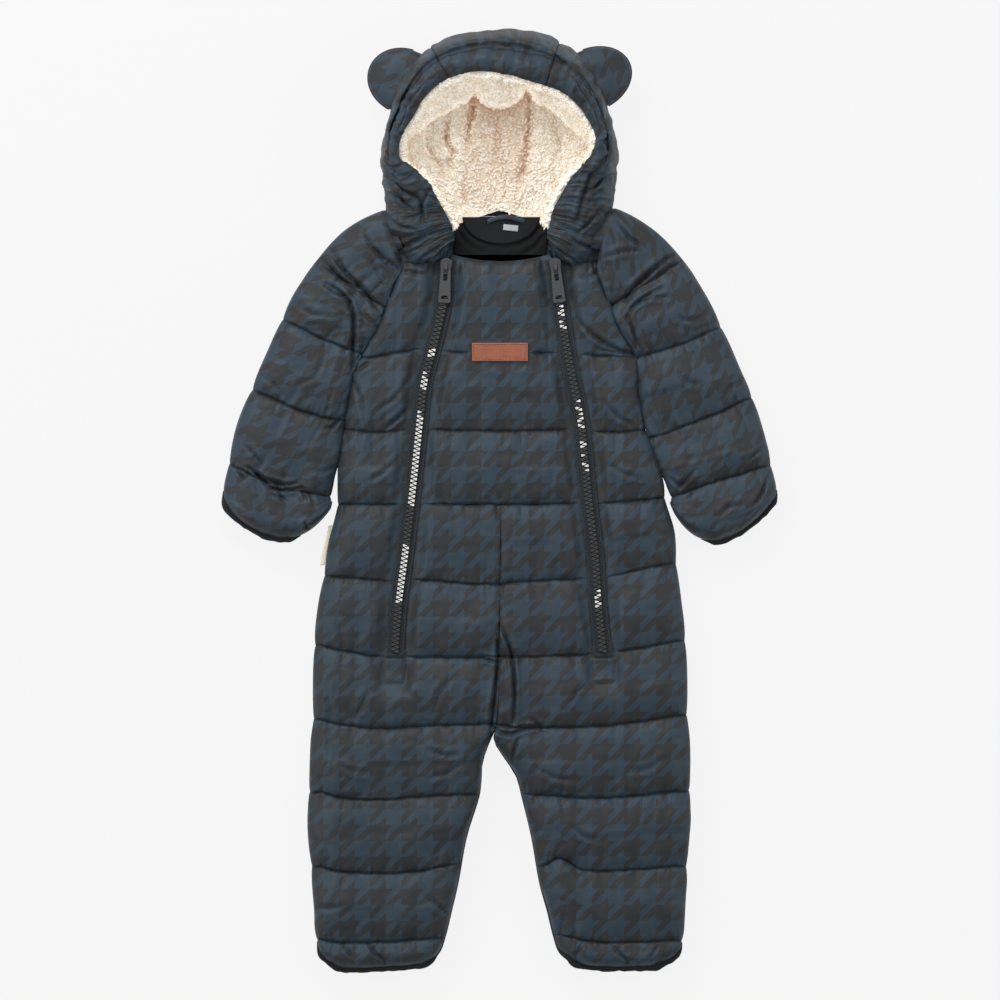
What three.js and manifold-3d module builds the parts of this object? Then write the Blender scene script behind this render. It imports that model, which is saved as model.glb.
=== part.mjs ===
// Padded baby snowsuit with a lined hood, laid flat on its back with the hood standing open.
// Millimetres, +Z up from the surface, +Y towards the hood. "right" and "left" are the wearer's own: right is at -X.
import * as THREE from 'three';
import Module from 'manifold-3d';
import * as BufferGeometryUtils from 'three/addons/utils/BufferGeometryUtils.js';

const wasm = await Module();
wasm.setup();

// Driving dimensions
const SEAM_GAP = 0.3; // between sewn pieces
const BACK_THICK = 17.35; // padded back layer, from the surface up
const FRONT_BASE = BACK_THICK + SEAM_GAP; // inner face of the front layer
const FRONT_CROWN = 17.5; // front padding in the middle of a channel
const QUILT_SHARE = 0.4; // share of the padding drawn in at a quilt line
const QUILT_EXPONENT = 0.55; // fullness of a channel between its lines
const SCALLOP = 2.2; // how far a quilt line draws the outline in
const ROUND_RADIUS = 24; // roll of a free side edge, in plan
const ROUND_BASE = 0.13; // share of the padding left at a free edge
const SEAM_RADIUS = 12; // roll beside a seam in the front
const SEAM_BASE = 0.74; // share of the padding left at such a seam
const HEM_RADIUS = 13; // roll at a hem or cuff
const BESIDE_LINE = 0.18; // share of a channel beside a quilt line where the padding is sampled too
const CHANNEL_FRACTIONS = [0, BESIDE_LINE, 0.5, 1 - BESIDE_LINE];

const WAIST_LINE = 3; // quilt line that is the waist seam
const LAST_LINE = 9; // lowest quilt line of a leg
const HEM_Y = -396.2; // end of the leg panels
const NECK_Y = 241.4; // back neck seam
const CROTCH_Y = -204;
const ARMPIT_Y = 108;
const CUFF_LINE = 3.78; // end of a sleeve, counted in its quilt lines
const SLEEVE_CHANNEL = 60; // between two quilt lines of a sleeve

const ZIP_BED = 9.3; // padding under a zip
const ZIP_HALF_BED = 9; // half of the flat bed
const ZIP_SHOULDER = 20; // from the zip's centre to full padding
const ZIP_TOP_Y = 203.5;
const ZIP_END_Y = -133;
const BED_END_Y = -142; // the bed runs a little past the stitched end
const BED_GONE_Y = -172;
const TAPE_WIDTH = 15;
const TAPE_THICK = 1;
const CHAIN_WIDTH = 6.5;
const CHAIN_THICK = 2.4;

const BIB_DIP = 6; // how far the bib's top edge rises from its middle to the zips

const PATCH = { x: 0, y: 125.6, width: 47.6, height: 15.6, thick: 1.6 };
const PATCH_PAD = 16.2; // padding under the patch, held flat by its stitches

const COLOURS = {
  shell: 0x38424c,
  pile: 0xe9dfcf,
  black: 0x141517,
  tape: 0x1b1e22,
  teeth: 0x2c2d2e,
  pull: 0x77787a,
  leather: 0x8a4b32,
  cream: 0xe6d9bf,
  label: 0xe8e8e6,
};

// Side edges of the body and legs: raglan seam down to the armpit, then side seam
const BODY_EDGE = [
  { y: 241, right: -98, left: 97 },
  { y: 222, right: -97, left: 91 },
  { y: 199, right: -83.3, left: 82 },
  { y: 183.6, right: -90.1, left: 87 },
  { y: 163, right: -96.9, left: 94.5 },
  { y: 146, right: -104.6, left: 101.5 },
  { y: 124, right: -117.3, left: 114.8 },
  { y: 108, right: -124.1, left: 117.3 },
  { y: 89, right: -129, left: 119.5 },
  { y: 72, right: -132.6, left: 122.5 },
  { y: 51, right: -136, left: 128 },
  { y: 36, right: -137.7, left: 132.5 },
  { y: 10, right: -138.8, left: 139.8 },
  { y: -12, right: -140.6, left: 143 },
  { y: -40, right: -146.2, left: 148.8 },
  { y: -75, right: -152, left: 151.8 },
  { y: -102, right: -155.6, left: 154.5 },
  { y: -130, right: -158.8, left: 158.6 },
  { y: -170, right: -159.4, left: 159.6 },
  { y: -224, right: -161.7, left: 161.8 },
  { y: -260, right: -164, left: 162.8 },
  { y: -306, right: -162.4, left: 160.6 },
  { y: -350, right: -158.4, left: 157.8 },
  { y: -372, right: -158, left: 157 },
  { y: -386, right: -152.5, left: 151.5 },
  { y: -396.2, right: -139, left: 134 },
];

// Centre front seam of the legs down to the crotch, then the two inside leg edges
const INNER_EDGE = [
  { y: 0, right: 0, left: 0 },
  { y: -120, right: 0, left: 0 },
  { y: -185, right: -1.5, left: -1.5 },
  { y: -196, right: -4.2, left: -3.6 },
  { y: -204, right: -8, left: -5.4 },
  { y: -213, right: -11.5, left: -0.9 },
  { y: -224, right: -15, left: 6.8 },
  { y: -236, right: -15.6, left: 14 },
  { y: -252, right: -17.5, left: 18.2 },
  { y: -286, right: -28, left: 26.4 },
  { y: -326, right: -35.4, left: 33.4 },
  { y: -350, right: -41, left: 40 },
  { y: -372, right: -46.4, left: 45.4 },
  { y: -386, right: -52, left: 51 },
  { y: -396.2, right: -64, left: 64 },
];

// Zip lines, and the leg front's own fold line below the zips
const ZIP_LINE = [
  { y: 212, right: -40.8, left: 40.8 },
  { y: 205, right: -44.2, left: 44.8 },
  { y: 197, right: -46, left: 47.4 },
  { y: 170, right: -47.6, left: 50.3 },
  { y: 126, right: -57.8, left: 57.2 },
  { y: 99, right: -64.6, left: 62.5 },
  { y: 68, right: -68, left: 68.4 },
  { y: -4, right: -75.6, left: 75.7 },
  { y: -47, right: -80.8, left: 80.8 },
  { y: -88, right: -86, left: 83.4 },
  { y: -133, right: -89.3, left: 87.6 },
  { y: -210, right: -92, left: 90 },
  { y: -396.2, right: -101, left: 99 },
];

// Quilt lines of the body and legs, with how far their outer ends rise
const QUILT_LINES = [
  { line: -0.12, y: 212, riseRight: 0, riseLeft: 0 },
  { line: 0, y: 203, riseRight: 0, riseLeft: 0 },
  { line: 1, y: 123.3, riseRight: -5, riseLeft: 0 },
  { line: 2, y: 58.7, riseRight: 0, riseLeft: 0 },
  { line: 3, y: -3.8, riseRight: 0, riseLeft: 6 },
  { line: 4, y: -68.9, riseRight: 4, riseLeft: 12 },
  { line: 5, y: -133, riseRight: 9, riseLeft: 12 },
  { line: 6, y: -192, riseRight: 7, riseLeft: 9 },
  { line: 7, y: -252.5, riseRight: 5, riseLeft: 6 },
  { line: 8, y: -314, riseRight: 5, riseLeft: 4 },
  { line: 9, y: -375, riseRight: 3, riseLeft: 2 },
  { line: 9.35, y: -396.2, riseRight: 0, riseLeft: 0 },
];

// Raglan sleeves: lines across each sleeve, from its outer edge over the middle to the edge beside the body
const SLEEVES = {
  right: [
    { line: -0.85, outerX: -96, outerY: 248.5, midX: -91, midY: 225, innerX: -78, innerY: 202 },
    { line: -0.75, outerX: -101.2, outerY: 245.7, midX: -96.9, midY: 222.7, innerX: -83.3, innerY: 198.9 },
    { line: -0.4, outerX: -131.8, outerY: 229.5, midX: -109.7, midY: 205.7, innerX: -90.1, innerY: 183.6 },
    { line: 0, outerX: -155.6, outerY: 204, midX: -125, midY: 181.1, innerX: -96.9, innerY: 163.2 },
    { line: 0.5, outerX: -173.4, outerY: 178.5, midX: -136, midY: 159.8, innerX: -104.6, innerY: 144.5 },
    { line: 1, outerX: -186.2, outerY: 154.7, midX: -151.3, midY: 137.7, innerX: -117.3, innerY: 124.1 },
    { line: 1.5, outerX: -198.9, outerY: 124.1, midX: -159.8, midY: 105.4, innerX: -127, innerY: 95.2 },
    { line: 2, outerX: -212.5, outerY: 95.2, midX: -167.5, midY: 75.7, innerX: -133.6, innerY: 67.2 },
    { line: 2.5, outerX: -224.4, outerY: 62, midX: -181.1, midY: 43.4, innerX: -138.2, innerY: 35.7 },
    { line: 3, outerX: -231.2, outerY: 32.3, midX: -191.3, midY: 13.6, innerX: -142, innerY: 2.6 },
    { line: 3.45, outerX: -235, outerY: 8, midX: -188, midY: -13.5, innerX: -144, innerY: 0.5 },
    { line: 3.78, outerX: -231.6, outerY: -4.5, midX: -185, midY: -31, innerX: -146, innerY: -2 },
  ],
  left: [
    { line: -0.85, outerX: 94, outerY: 249.5, midX: 86, midY: 231, innerX: 77, innerY: 205 },
    { line: -0.75, outerX: 99.5, outerY: 247.4, midX: 91.8, midY: 229.5, innerX: 82.5, innerY: 202.3 },
    { line: -0.4, outerX: 130.9, outerY: 229.5, midX: 108, midY: 209.5, innerX: 86.7, innerY: 185.3 },
    { line: 0, outerX: 155.6, outerY: 204, midX: 124.1, midY: 184, innerX: 94.5, innerY: 165 },
    { line: 0.5, outerX: 172.6, outerY: 178.5, midX: 136, midY: 158.5, innerX: 101.5, innerY: 146 },
    { line: 1, outerX: 189.5, outerY: 147.9, midX: 151.3, midY: 131.8, innerX: 116.5, innerY: 121.6 },
    { line: 1.5, outerX: 204, outerY: 112.2, midX: 161.5, midY: 98.6, innerX: 120.6, innerY: 88.4 },
    { line: 2, outerX: 215.5, outerY: 88, midX: 172.6, midY: 68.9, innerX: 128.9, innerY: 52.7 },
    { line: 2.5, outerX: 224.8, outerY: 56, midX: 182.8, midY: 38.3, innerX: 136, innerY: 28.9 },
    { line: 3, outerX: 231.6, outerY: 30, midX: 189.6, midY: 17.9, innerX: 143.7, innerY: 1.7 },
    { line: 3.45, outerX: 235, outerY: 8, midX: 188.7, midY: -13, innerX: 145.6, innerY: 0 },
    { line: 3.78, outerX: 231.6, outerY: -4.5, midX: 188.7, midY: -31, innerX: 147.4, innerY: -2 },
  ],
};
const SLEEVE_BACK_ROWS = [-0.85, -0.4, 0, 0.5, 1, 1.5, 2, 2.5, 3, 3.45, 3.62, 3.72, 3.78];
const SLEEVE_ROWS = [
  -0.85, -0.7, -0.4, 0, 0.18, 0.5, 0.82, 1, 1.18, 1.5, 1.82, 2, 2.18, 2.5, 2.82, 3, 3.2, 3.45, 3.62, 3.72, CUFF_LINE,
];

// Hood stations from the wearer's right front corner over the crown to the left one:
// outline, edge of the face opening, and height of the brim's ridge
const HOOD_STATIONS = [
  { outX: -50.2, outY: 205.9, rimX: -45, rimY: 213.6, height: 34 },
  { outX: -63.8, outY: 197.2, rimX: -40.8, rimY: 219.3, height: 38 },
  { outX: -79.1, outY: 199.8, rimX: -40, rimY: 224.4, height: 42 },
  { outX: -92.7, outY: 215.9, rimX: -40.8, rimY: 231.2, height: 46 },
  { outX: -98.6, outY: 236.3, rimX: -45.9, rimY: 243.1, height: 50 },
  { outX: -97.8, outY: 255, rimX: -53.6, rimY: 255.9, height: 55 },
  { outX: -99.5, outY: 273.7, rimX: -66.3, rimY: 274.6, height: 60 },
  { outX: -101.2, outY: 293.3, rimX: -84.2, rimY: 289, height: 64 },
  { outX: -97.8, outY: 316.2, rimX: -83.3, rimY: 307.7, height: 68 },
  { outX: -91.8, outY: 337.5, rimX: -73.1, rimY: 324.7, height: 72 },
  { outX: -82.5, outY: 358.7, rimX: -64.6, rimY: 339.2, height: 76 },
  { outX: -68, outY: 378.3, rimX: -51, rimY: 351.9, height: 80 },
  { outX: -46.8, outY: 391, rimX: -34, rimY: 359.6, height: 83 },
  { outX: -18.7, outY: 398.7, rimX: -14.5, rimY: 362.1, height: 85 },
  { outX: 11.9, outY: 399.5, rimX: 10.2, rimY: 358.7, height: 85 },
  { outX: 41.7, outY: 392.7, rimX: 31.5, rimY: 351.9, height: 83 },
  { outX: 64.6, outY: 380.8, rimX: 51, rimY: 345.1, height: 80 },
  { outX: 79.1, outY: 362.1, rimX: 65.5, rimY: 334, height: 76 },
  { outX: 89.3, outY: 340, rimX: 75.7, rimY: 319.6, height: 72 },
  { outX: 96.1, outY: 317.1, rimX: 80.8, rimY: 304.3, height: 68 },
  { outX: 100.3, outY: 294.1, rimX: 74.8, rimY: 289, height: 64 },
  { outX: 98.6, outY: 272, rimX: 61.2, rimY: 274.6, height: 60 },
  { outX: 96.1, outY: 253.3, rimX: 51, rimY: 257.6, height: 55 },
  { outX: 91.8, outY: 233.8, rimX: 44.2, rimY: 244, height: 50 },
  { outX: 86.7, outY: 218.5, rimX: 41.7, rimY: 232.1, height: 46 },
  { outX: 76.5, outY: 204, rimX: 40.8, rimY: 225.3, height: 42 },
  { outX: 62.9, outY: 197.2, rimX: 41.7, rimY: 219.3, height: 38 },
  { outX: 50.2, outY: 204.9, rimX: 44.2, rimY: 213.6, height: 34 },
];
const FIRST_LINED = 3; // the pile lining starts and ends this many stations from the corners
const FLOOR_FROM = 4; // so does the part of the hood that lies on the surface
const HOOD_SHELL = 9; // padded shell of the hood
const PILE_THICK = 5;
const HOOD_FLOOR_INSET = 22;
const CROWN_RIGHT_X = -57; // seams of the crown panel
const CROWN_LEFT_X = 49;
const CHEEK_Y = 285; // below this and above the hood's floor the side panels reach inwards past the crown's seams
const CHEEK_Z = 16.2;

// Section of the hood from the floor round its outline up to the brim's edge: share of the width from outline
// to edge, inset in mm, share of the height, and lift in mm, for the shell's outside, its inside and the pile's face
const HOOD_SECTION = [
  { outer: [0, 22, 0, 0], inner: [0, 22, 0, 9], pile: [0, 22, 0, 14.3] },
  { outer: [0, 9, 0, 2], inner: [0, 15, 0, 9.3], pile: [0, 19, 0, 14.6] },
  { outer: [0, 2.5, 0, 9], inner: [0, 11, 0, 13], pile: [0, 16, 0, 18.2] },
  { outer: [0, 0, 0.42, 0], inner: [0, 9, 0.42, 0], pile: [0, 14.3, 0.42, 0] },
  { outer: [0.1, 0, 0.66, 0], inner: [0.1, 9, 0.62, 0], pile: [0.1, 14.2, 0.6, 0] },
  { outer: [0.25, 0, 0.86, 0], inner: [0.25, 7, 0.86, -7], pile: [0.25, 12.6, 0.86, -12] },
  { outer: [0.42, 0, 0.885, 0], inner: [0.42, 5, 0.9, -8.5], pile: [0.42, 10.6, 0.9, -13.6] },
  { outer: [0.66, 0, 1, 0], inner: [0.66, 3, 1, -10], pile: [0.66, 7.4, 1, -15.4] },
  { outer: [0.9, 0, 1, -1], inner: [0.93, 1, 1, -10], pile: [0.93, 4, 1, -14.6] },
  { outer: [1, 0, 1, -5], inner: [1, 0, 1, -9], pile: [1, 3.6, 1, -10.4] },
];

const EARS = {
  right: { x: -81, y: 355.6, outward: [-0.924, 0.382], reach: 31.5, half: 27 },
  left: { x: 78.2, y: 357, outward: [0.907, 0.42], reach: 34.5, half: 26 },
};
const EAR_Z = 31;
const EAR_HALF_THICK = 11;
const EAR_DROOP = 0.12; // radians, the tips lie lower than the roots

const SLIDER = { length: 14, width: 9.4, waist: 7.6, top: 33.2, y: 198.5 };
const BRIDGE = { width: 2.2, length: 8.4, wall: 1.3, clear: 3.4, crest: 4.7 };
const PULL = { axisZ: 35.1, length: 31, top: 7.6, foot: 10.6, thick: 1.6, bar: 0.9, slotWidth: 3.7, slotEnd: 12.4 };
const PULL_TILT = 0.098; // radians, so that its foot lies on the teeth

const BINDING_THICK = 3;
const BINDING_LOW = 11;
const BINDING_HIGH = 24.5;
const BINDING_SLIT = 0.6; // the opening between front and back, pressed flat

// Small helpers
const clamp01 = (t) => Math.min(1, Math.max(0, t));
const mix = (a, b, t) => a + (b - a) * t;
const smooth = (t) => clamp01(t) ** 2 * (3 - 2 * clamp01(t));
const point = (x, y, z) => new THREE.Vector3(x, y, z);

// Smooth value of one column of a table against another
function track(rows, key, column) {
  const sorted = [...rows].sort((a, b) => a[key] - b[key]);
  const at = sorted.map((row) => row[key]);
  const value = sorted.map((row) => row[column]);
  const slope = value.map((_, i) => {
    const before = Math.max(i - 1, 0);
    const after = Math.min(i + 1, value.length - 1);
    return (value[after] - value[before]) / (at[after] - at[before]);
  });
  return (where) => {
    let i = 0;
    while (i < at.length - 2 && at[i + 1] < where) i += 1;
    const span = at[i + 1] - at[i];
    const t = clamp01((where - at[i]) / span);
    const rise = value[i + 1] - value[i];
    const bendIn = slope[i] * span - rise;
    const bendOut = rise - slope[i + 1] * span;
    return mix(value[i], value[i + 1], t) + t * (1 - t) * (bendIn * (1 - t) + bendOut * t);
  };
}

const bodyEdge = { right: track(BODY_EDGE, 'y', 'right'), left: track(BODY_EDGE, 'y', 'left') };
const innerEdge = { right: track(INNER_EDGE, 'y', 'right'), left: track(INNER_EDGE, 'y', 'left') };
const zipLine = { right: track(ZIP_LINE, 'y', 'right'), left: track(ZIP_LINE, 'y', 'left') };
const quiltY = track(QUILT_LINES, 'line', 'y');
const quiltRise = { right: track(QUILT_LINES, 'line', 'riseRight'), left: track(QUILT_LINES, 'line', 'riseLeft') };

// Fullness of the padding: 0 on a quilt line, 1 in the middle of a channel
const fullness = (line) => Math.abs(Math.sin(Math.PI * line)) ** QUILT_EXPONENT;
const channel = (line) => 1 - QUILT_SHARE * (1 - fullness(line));

// Roll of the padding towards an edge; free is 0 beside a seam and 1 at a free edge
function roll(distance, free, radius = mix(SEAM_RADIUS, ROUND_RADIUS, free)) {
  const base = mix(SEAM_BASE, ROUND_BASE, free);
  const t = 1 - clamp01(distance / radius);
  return base + (1 - base) * Math.sqrt(1 - t * t);
}

// A closed mesh with its faces turned outwards
function outward(points, faces) {
  let volume = 0;
  for (let i = 0; i < faces.length; i += 3) {
    const [a, b, c] = [points[faces[i]], points[faces[i + 1]], points[faces[i + 2]]];
    volume += a.dot(b.clone().cross(c));
  }
  if (volume < 0) faces.reverse();
  const used = [...new Set(faces)];
  const place = new Map(used.map((index, i) => [index, i]));
  const geometry = new THREE.BufferGeometry().setFromPoints(used.map((index) => points[index]));
  geometry.setIndex(faces.map((index) => place.get(index)));
  return geometry;
}

// One closed body between two grids of points, joined round their borders
function closedWall(outer, inner) {
  const rows = outer.length;
  const columns = outer[0].length;
  const upper = (r, c) => r * columns + c;
  const lower = (r, c) => rows * columns + r * columns + c;
  const faces = [];
  const quad = (a, b, c, d) => faces.push(a, b, c, a, c, d);
  for (let r = 0; r < rows - 1; r += 1) {
    for (let c = 0; c < columns - 1; c += 1) {
      quad(upper(r, c), upper(r, c + 1), upper(r + 1, c + 1), upper(r + 1, c));
      quad(lower(r, c), lower(r + 1, c), lower(r + 1, c + 1), lower(r, c + 1));
    }
    quad(upper(r, 0), upper(r + 1, 0), lower(r + 1, 0), lower(r, 0));
    quad(upper(r + 1, columns - 1), upper(r, columns - 1), lower(r, columns - 1), lower(r + 1, columns - 1));
  }
  for (let c = 0; c < columns - 1; c += 1) {
    quad(upper(0, c + 1), upper(0, c), lower(0, c), lower(0, c + 1));
    quad(upper(rows - 1, c), upper(rows - 1, c + 1), lower(rows - 1, c + 1), lower(rows - 1, c));
  }
  return outward([...outer.flat(), ...inner.flat()], faces);
}

// One closed body between a grid of points and a plane, with the fewest faces on the plane
function closedOnPlane(outer, z) {
  const rows = outer.length;
  const columns = outer[0].length;
  const points = [...outer.flat(), ...outer.flat().map((p) => point(p.x, p.y, z))];
  const upper = (r, c) => r * columns + c;
  const lower = (r, c) => rows * columns + r * columns + c;
  const faces = [];
  const quad = (a, b, c, d) => faces.push(a, b, c, a, c, d);
  for (let r = 0; r < rows - 1; r += 1) {
    for (let c = 0; c < columns - 1; c += 1) {
      quad(upper(r, c), upper(r, c + 1), upper(r + 1, c + 1), upper(r + 1, c));
    }
    quad(upper(r, 0), upper(r + 1, 0), lower(r + 1, 0), lower(r, 0));
    quad(upper(r + 1, columns - 1), upper(r, columns - 1), lower(r, columns - 1), lower(r + 1, columns - 1));
  }
  const half = Math.floor((columns - 1) / 2);
  const end = rows - 1;
  for (let c = 0; c < columns - 1; c += 1) {
    quad(upper(0, c + 1), upper(0, c), lower(0, c), lower(0, c + 1));
    quad(upper(end, c), upper(end, c + 1), lower(end, c + 1), lower(end, c));
    const corner = c < half ? 0 : columns - 1;
    faces.push(lower(1, corner), lower(0, c + 1), lower(0, c));
    faces.push(lower(end - 1, corner), lower(end, c), lower(end, c + 1));
  }
  faces.push(lower(1, 0), lower(1, columns - 1), lower(0, half));
  faces.push(lower(end - 1, columns - 1), lower(end - 1, 0), lower(end, half));
  for (let r = 1; r < end - 1; r += 1) {
    quad(lower(r, 0), lower(r + 1, 0), lower(r + 1, columns - 1), lower(r, columns - 1));
  }
  return outward(points, faces);
}

// Cuts and joins
function solid(geometry) {
  const bare = geometry.clone();
  bare.deleteAttribute('normal');
  bare.deleteAttribute('uv');
  const merged = BufferGeometryUtils.mergeVertices(bare, 1e-4);
  const mesh = new wasm.Mesh({
    numProp: 3,
    vertProperties: Float32Array.from(merged.attributes.position.array),
    triVerts: Uint32Array.from(merged.index.array),
  });
  mesh.merge();
  return new wasm.Manifold(mesh);
}

function geometryOf(body) {
  const mesh = body.getMesh();
  const geometry = new THREE.BufferGeometry();
  geometry.setAttribute('position', new THREE.BufferAttribute(mesh.vertProperties, 3));
  geometry.setIndex(new THREE.BufferAttribute(mesh.triVerts, 1));
  return geometry;
}

// Straight-sided block over a plan outline
function prism(outline, low, high) {
  const shape = new THREE.Shape(outline.map(([x, y]) => new THREE.Vector2(x, y)));
  const geometry = new THREE.ExtrudeGeometry(shape, { depth: high - low, bevelEnabled: false, steps: 1 });
  return geometry.translate(0, 0, low);
}

function block(low, high) {
  const size = high.map((value, i) => value - low[i]);
  const middle = high.map((value, i) => (value + low[i]) / 2);
  return new THREE.BoxGeometry(...size).translate(...middle);
}

// Rows of the body and leg panels, from one quilt line to another
function quiltRows(from, to) {
  const rows = [];
  for (let line = Math.floor(from); line < to; line += 1) {
    for (const fraction of CHANNEL_FRACTIONS) {
      if (line + fraction > from && line + fraction < to) rows.push(line + fraction);
    }
  }
  return [from, ...rows, to];
}

const HEM_ROWS = [9.06, 9.14, 9.22, 9.3, 9.335];
const BODY_ROWS = quiltRows(0, WAIST_LINE);
const LEG_ROWS = [...quiltRows(WAIST_LINE, LAST_LINE), ...HEM_ROWS, 9.35];

// The outline drawn in at the quilt lines below the armpit
function scalloped(side, y, line) {
  const inward = side === 'right' ? 1 : -1;
  const draw = SCALLOP * (1 - fullness(line)) * smooth((ARMPIT_Y - y) / 30);
  return bodyEdge[side](y) + inward * draw;
}

function lineY(line, side, x) {
  const y = quiltY(line);
  const share = Math.min(1, Math.abs(x / bodyEdge[side](y)));
  return y + quiltRise[side](line) * share ** 3;
}

const hemRoll = (y, radius = HEM_RADIUS) => roll(y - HEM_Y, 1, radius);

// Padding of the front layer over a point of the body or a leg
function frontPadding(side, x, y, line, leg) {
  const outer = Math.abs(x - scalloped(side, y, line));
  let pad = FRONT_CROWN * channel(line) * roll(outer, smooth((ARMPIT_Y + 14 - y) / 30));
  if (leg) {
    const inner = Math.abs(x - innerEdge[side](y));
    pad *= roll(inner, smooth((CROTCH_Y + 8 - y) / 22)) * hemRoll(y);
  }
  const present = smooth((y - BED_GONE_Y) / (BED_END_Y - BED_GONE_Y));
  const beside = smooth((Math.abs(x - zipLine[side](y)) - ZIP_HALF_BED) / (ZIP_SHOULDER - ZIP_HALF_BED));
  return mix(Math.min(pad, mix(ZIP_BED, pad, beside)), pad, 1 - present);
}

// Distances from a free or seamed edge where the roll is sampled
const EDGE_STEPS = [0, 2.5, 8, 16];

// A front panel between two edges, each a function of y, with columns beside the zip where it has one
function frontPanel({ side, rows, columns, leg = false, trimTop = 0, trimEnd = 0 }) {
  const outer = rows.map((line, index) => {
    const y = quiltY(line);
    const shift = index === 0 ? -trimTop : index === rows.length - 1 ? trimEnd : 0;
    return columns(y, line).map((x) => {
      const height = FRONT_BASE + frontPadding(side, x, y, line, leg);
      return point(x, lineY(line, side, x) + shift, height);
    });
  });
  return closedOnPlane(outer, FRONT_BASE);
}

// Columns from the outer edge to the zip
function besideZip(side) {
  const inward = side === 'right' ? 1 : -1;
  return (y, line) => {
    const edge = scalloped(side, y, line) + inward * (SEAM_GAP / 2);
    const zip = zipLine[side](y) - inward * (SEAM_GAP / 2);
    const width = Math.abs(zip - edge);
    const shoulder = Math.min(ZIP_SHOULDER, width * 0.45);
    const bed = Math.min(ZIP_HALF_BED, width * 0.2);
    const spread = Math.min(1, (width - shoulder) / 20);
    return [
      ...EDGE_STEPS.map((step) => edge + inward * step * spread),
      zip - inward * shoulder,
      zip - inward * bed,
      zip,
    ];
  };
}

function bibColumns(y, line) {
  const trim = SEAM_GAP / 2 + 0.6 * clamp01(1 - line);
  const right = zipLine.right(y) + trim;
  const left = zipLine.left(y) - trim;
  const centre = (right + left) / 2;
  const half = (left - right) / 2;
  const steps = [0, ZIP_HALF_BED, ZIP_SHOULDER, Math.max(half - 12, ZIP_SHOULDER + 3)];
  const offsets = [...steps.map((step) => step - half), 0, ...steps.map((step) => half - step).reverse()];
  return offsets.map((offset) => centre + offset);
}

function legColumns(side) {
  const outside = besideZip(side);
  const inward = side === 'right' ? 1 : -1;
  return (y, line) => {
    const inner = innerEdge[side](y) - inward * (SEAM_GAP / 2);
    const zip = zipLine[side](y);
    const near = outside(y, line).slice(0, -1);
    const edges = EDGE_STEPS.map((step) => inner - inward * step).reverse();
    const middle = [zip, zip + inward * ZIP_HALF_BED];
    const last = middle[1];
    const reach = Math.abs(edges[0] - last);
    return [...near, ...middle, last + inward * Math.min(ZIP_SHOULDER - ZIP_HALF_BED, reach / 2), ...edges];
  };
}

// The bib's top edge dips in the middle and its surface is flat under the patch
function bib() {
  const outer = BODY_ROWS.map((line, index) => {
    const y = quiltY(line);
    const last = index === BODY_ROWS.length - 1;
    const dip = BIB_DIP * Math.max(0, 1 - line * 2.2);
    const places = bibColumns(y + dip, line);
    return places.map((x) => {
      const side = x < 0 ? 'right' : 'left';
      const up = dip * (x / places[0]) ** 2 + (last ? SEAM_GAP / 2 : 0);
      const under = smooth((34 - Math.abs(x)) / 8) * smooth((0.4 - Math.abs(line - 1)) / 0.15);
      const pad = mix(frontPadding(side, x, y, line, false), PATCH_PAD, under);
      return point(x, lineY(line, side, x) + up, FRONT_BASE + pad);
    });
  });
  return closedOnPlane(outer, FRONT_BASE);
}

// A back panel: flat on the surface, rolled up where its edge is free
function backPanel({ rows, columns, free, trimTop = 0, trimEnd = 0 }) {
  const outer = rows.map((line, index) => {
    const y = quiltY(line);
    const shift = index === 0 ? -trimTop : index === rows.length - 1 ? trimEnd : 0;
    return columns(y, line).map((x) => {
      const side = x < 0 ? 'right' : 'left';
      return point(x, lineY(line, side, x) + shift, BACK_THICK * (1 - free(x, y, line)));
    });
  });
  return closedOnPlane(outer, BACK_THICK);
}

const flatRoll = (distance, free) => mix(1, roll(distance, 1), free);

const BACK_LEG_ROWS = [WAIST_LINE, 3.5, 4, 4.5, 5, 5.5, 6, 6.15, 6.3, 6.5, 6.7, 7, 7.5, 8, 8.5, 9, ...HEM_ROWS.slice(1), 9.35];

function backBody() {
  const body = backPanel({
    rows: BODY_ROWS,
    trimEnd: SEAM_GAP / 2,
    columns: (y, line) => {
      const right = scalloped('right', y, line) + SEAM_GAP / 2;
      const left = scalloped('left', y, line) - SEAM_GAP / 2;
      return [...EDGE_STEPS.map((step) => right + step), 0, ...EDGE_STEPS.map((step) => left - step).reverse()];
    },
    free: (x, y, line) => {
      const side = x < 0 ? 'right' : 'left';
      return flatRoll(Math.abs(x - scalloped(side, y, line)), smooth((ARMPIT_Y + 10 - y) / 30));
    },
  });
  // The yoke under the hood's corners, up to the back neck seam
  const yoke = [241, 232, 222, 210, 203].map((y) => [bodyEdge.right(y) + SEAM_GAP / 2, y]);
  const yokeLeft = [203, 210, 222, 232, 241].map((y) => [bodyEdge.left(y) - SEAM_GAP / 2, y]);
  yoke[0][1] = NECK_Y - SEAM_GAP;
  yokeLeft.at(-1)[1] = NECK_Y - SEAM_GAP;
  yoke.at(-1)[0] += 0.2;
  yoke.at(-1)[1] -= 0.5;
  yokeLeft[0][1] -= 0.5;
  return geometryOf(solid(body).add(solid(prism([...yoke, ...yokeLeft], 0, BACK_THICK))));
}

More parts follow.
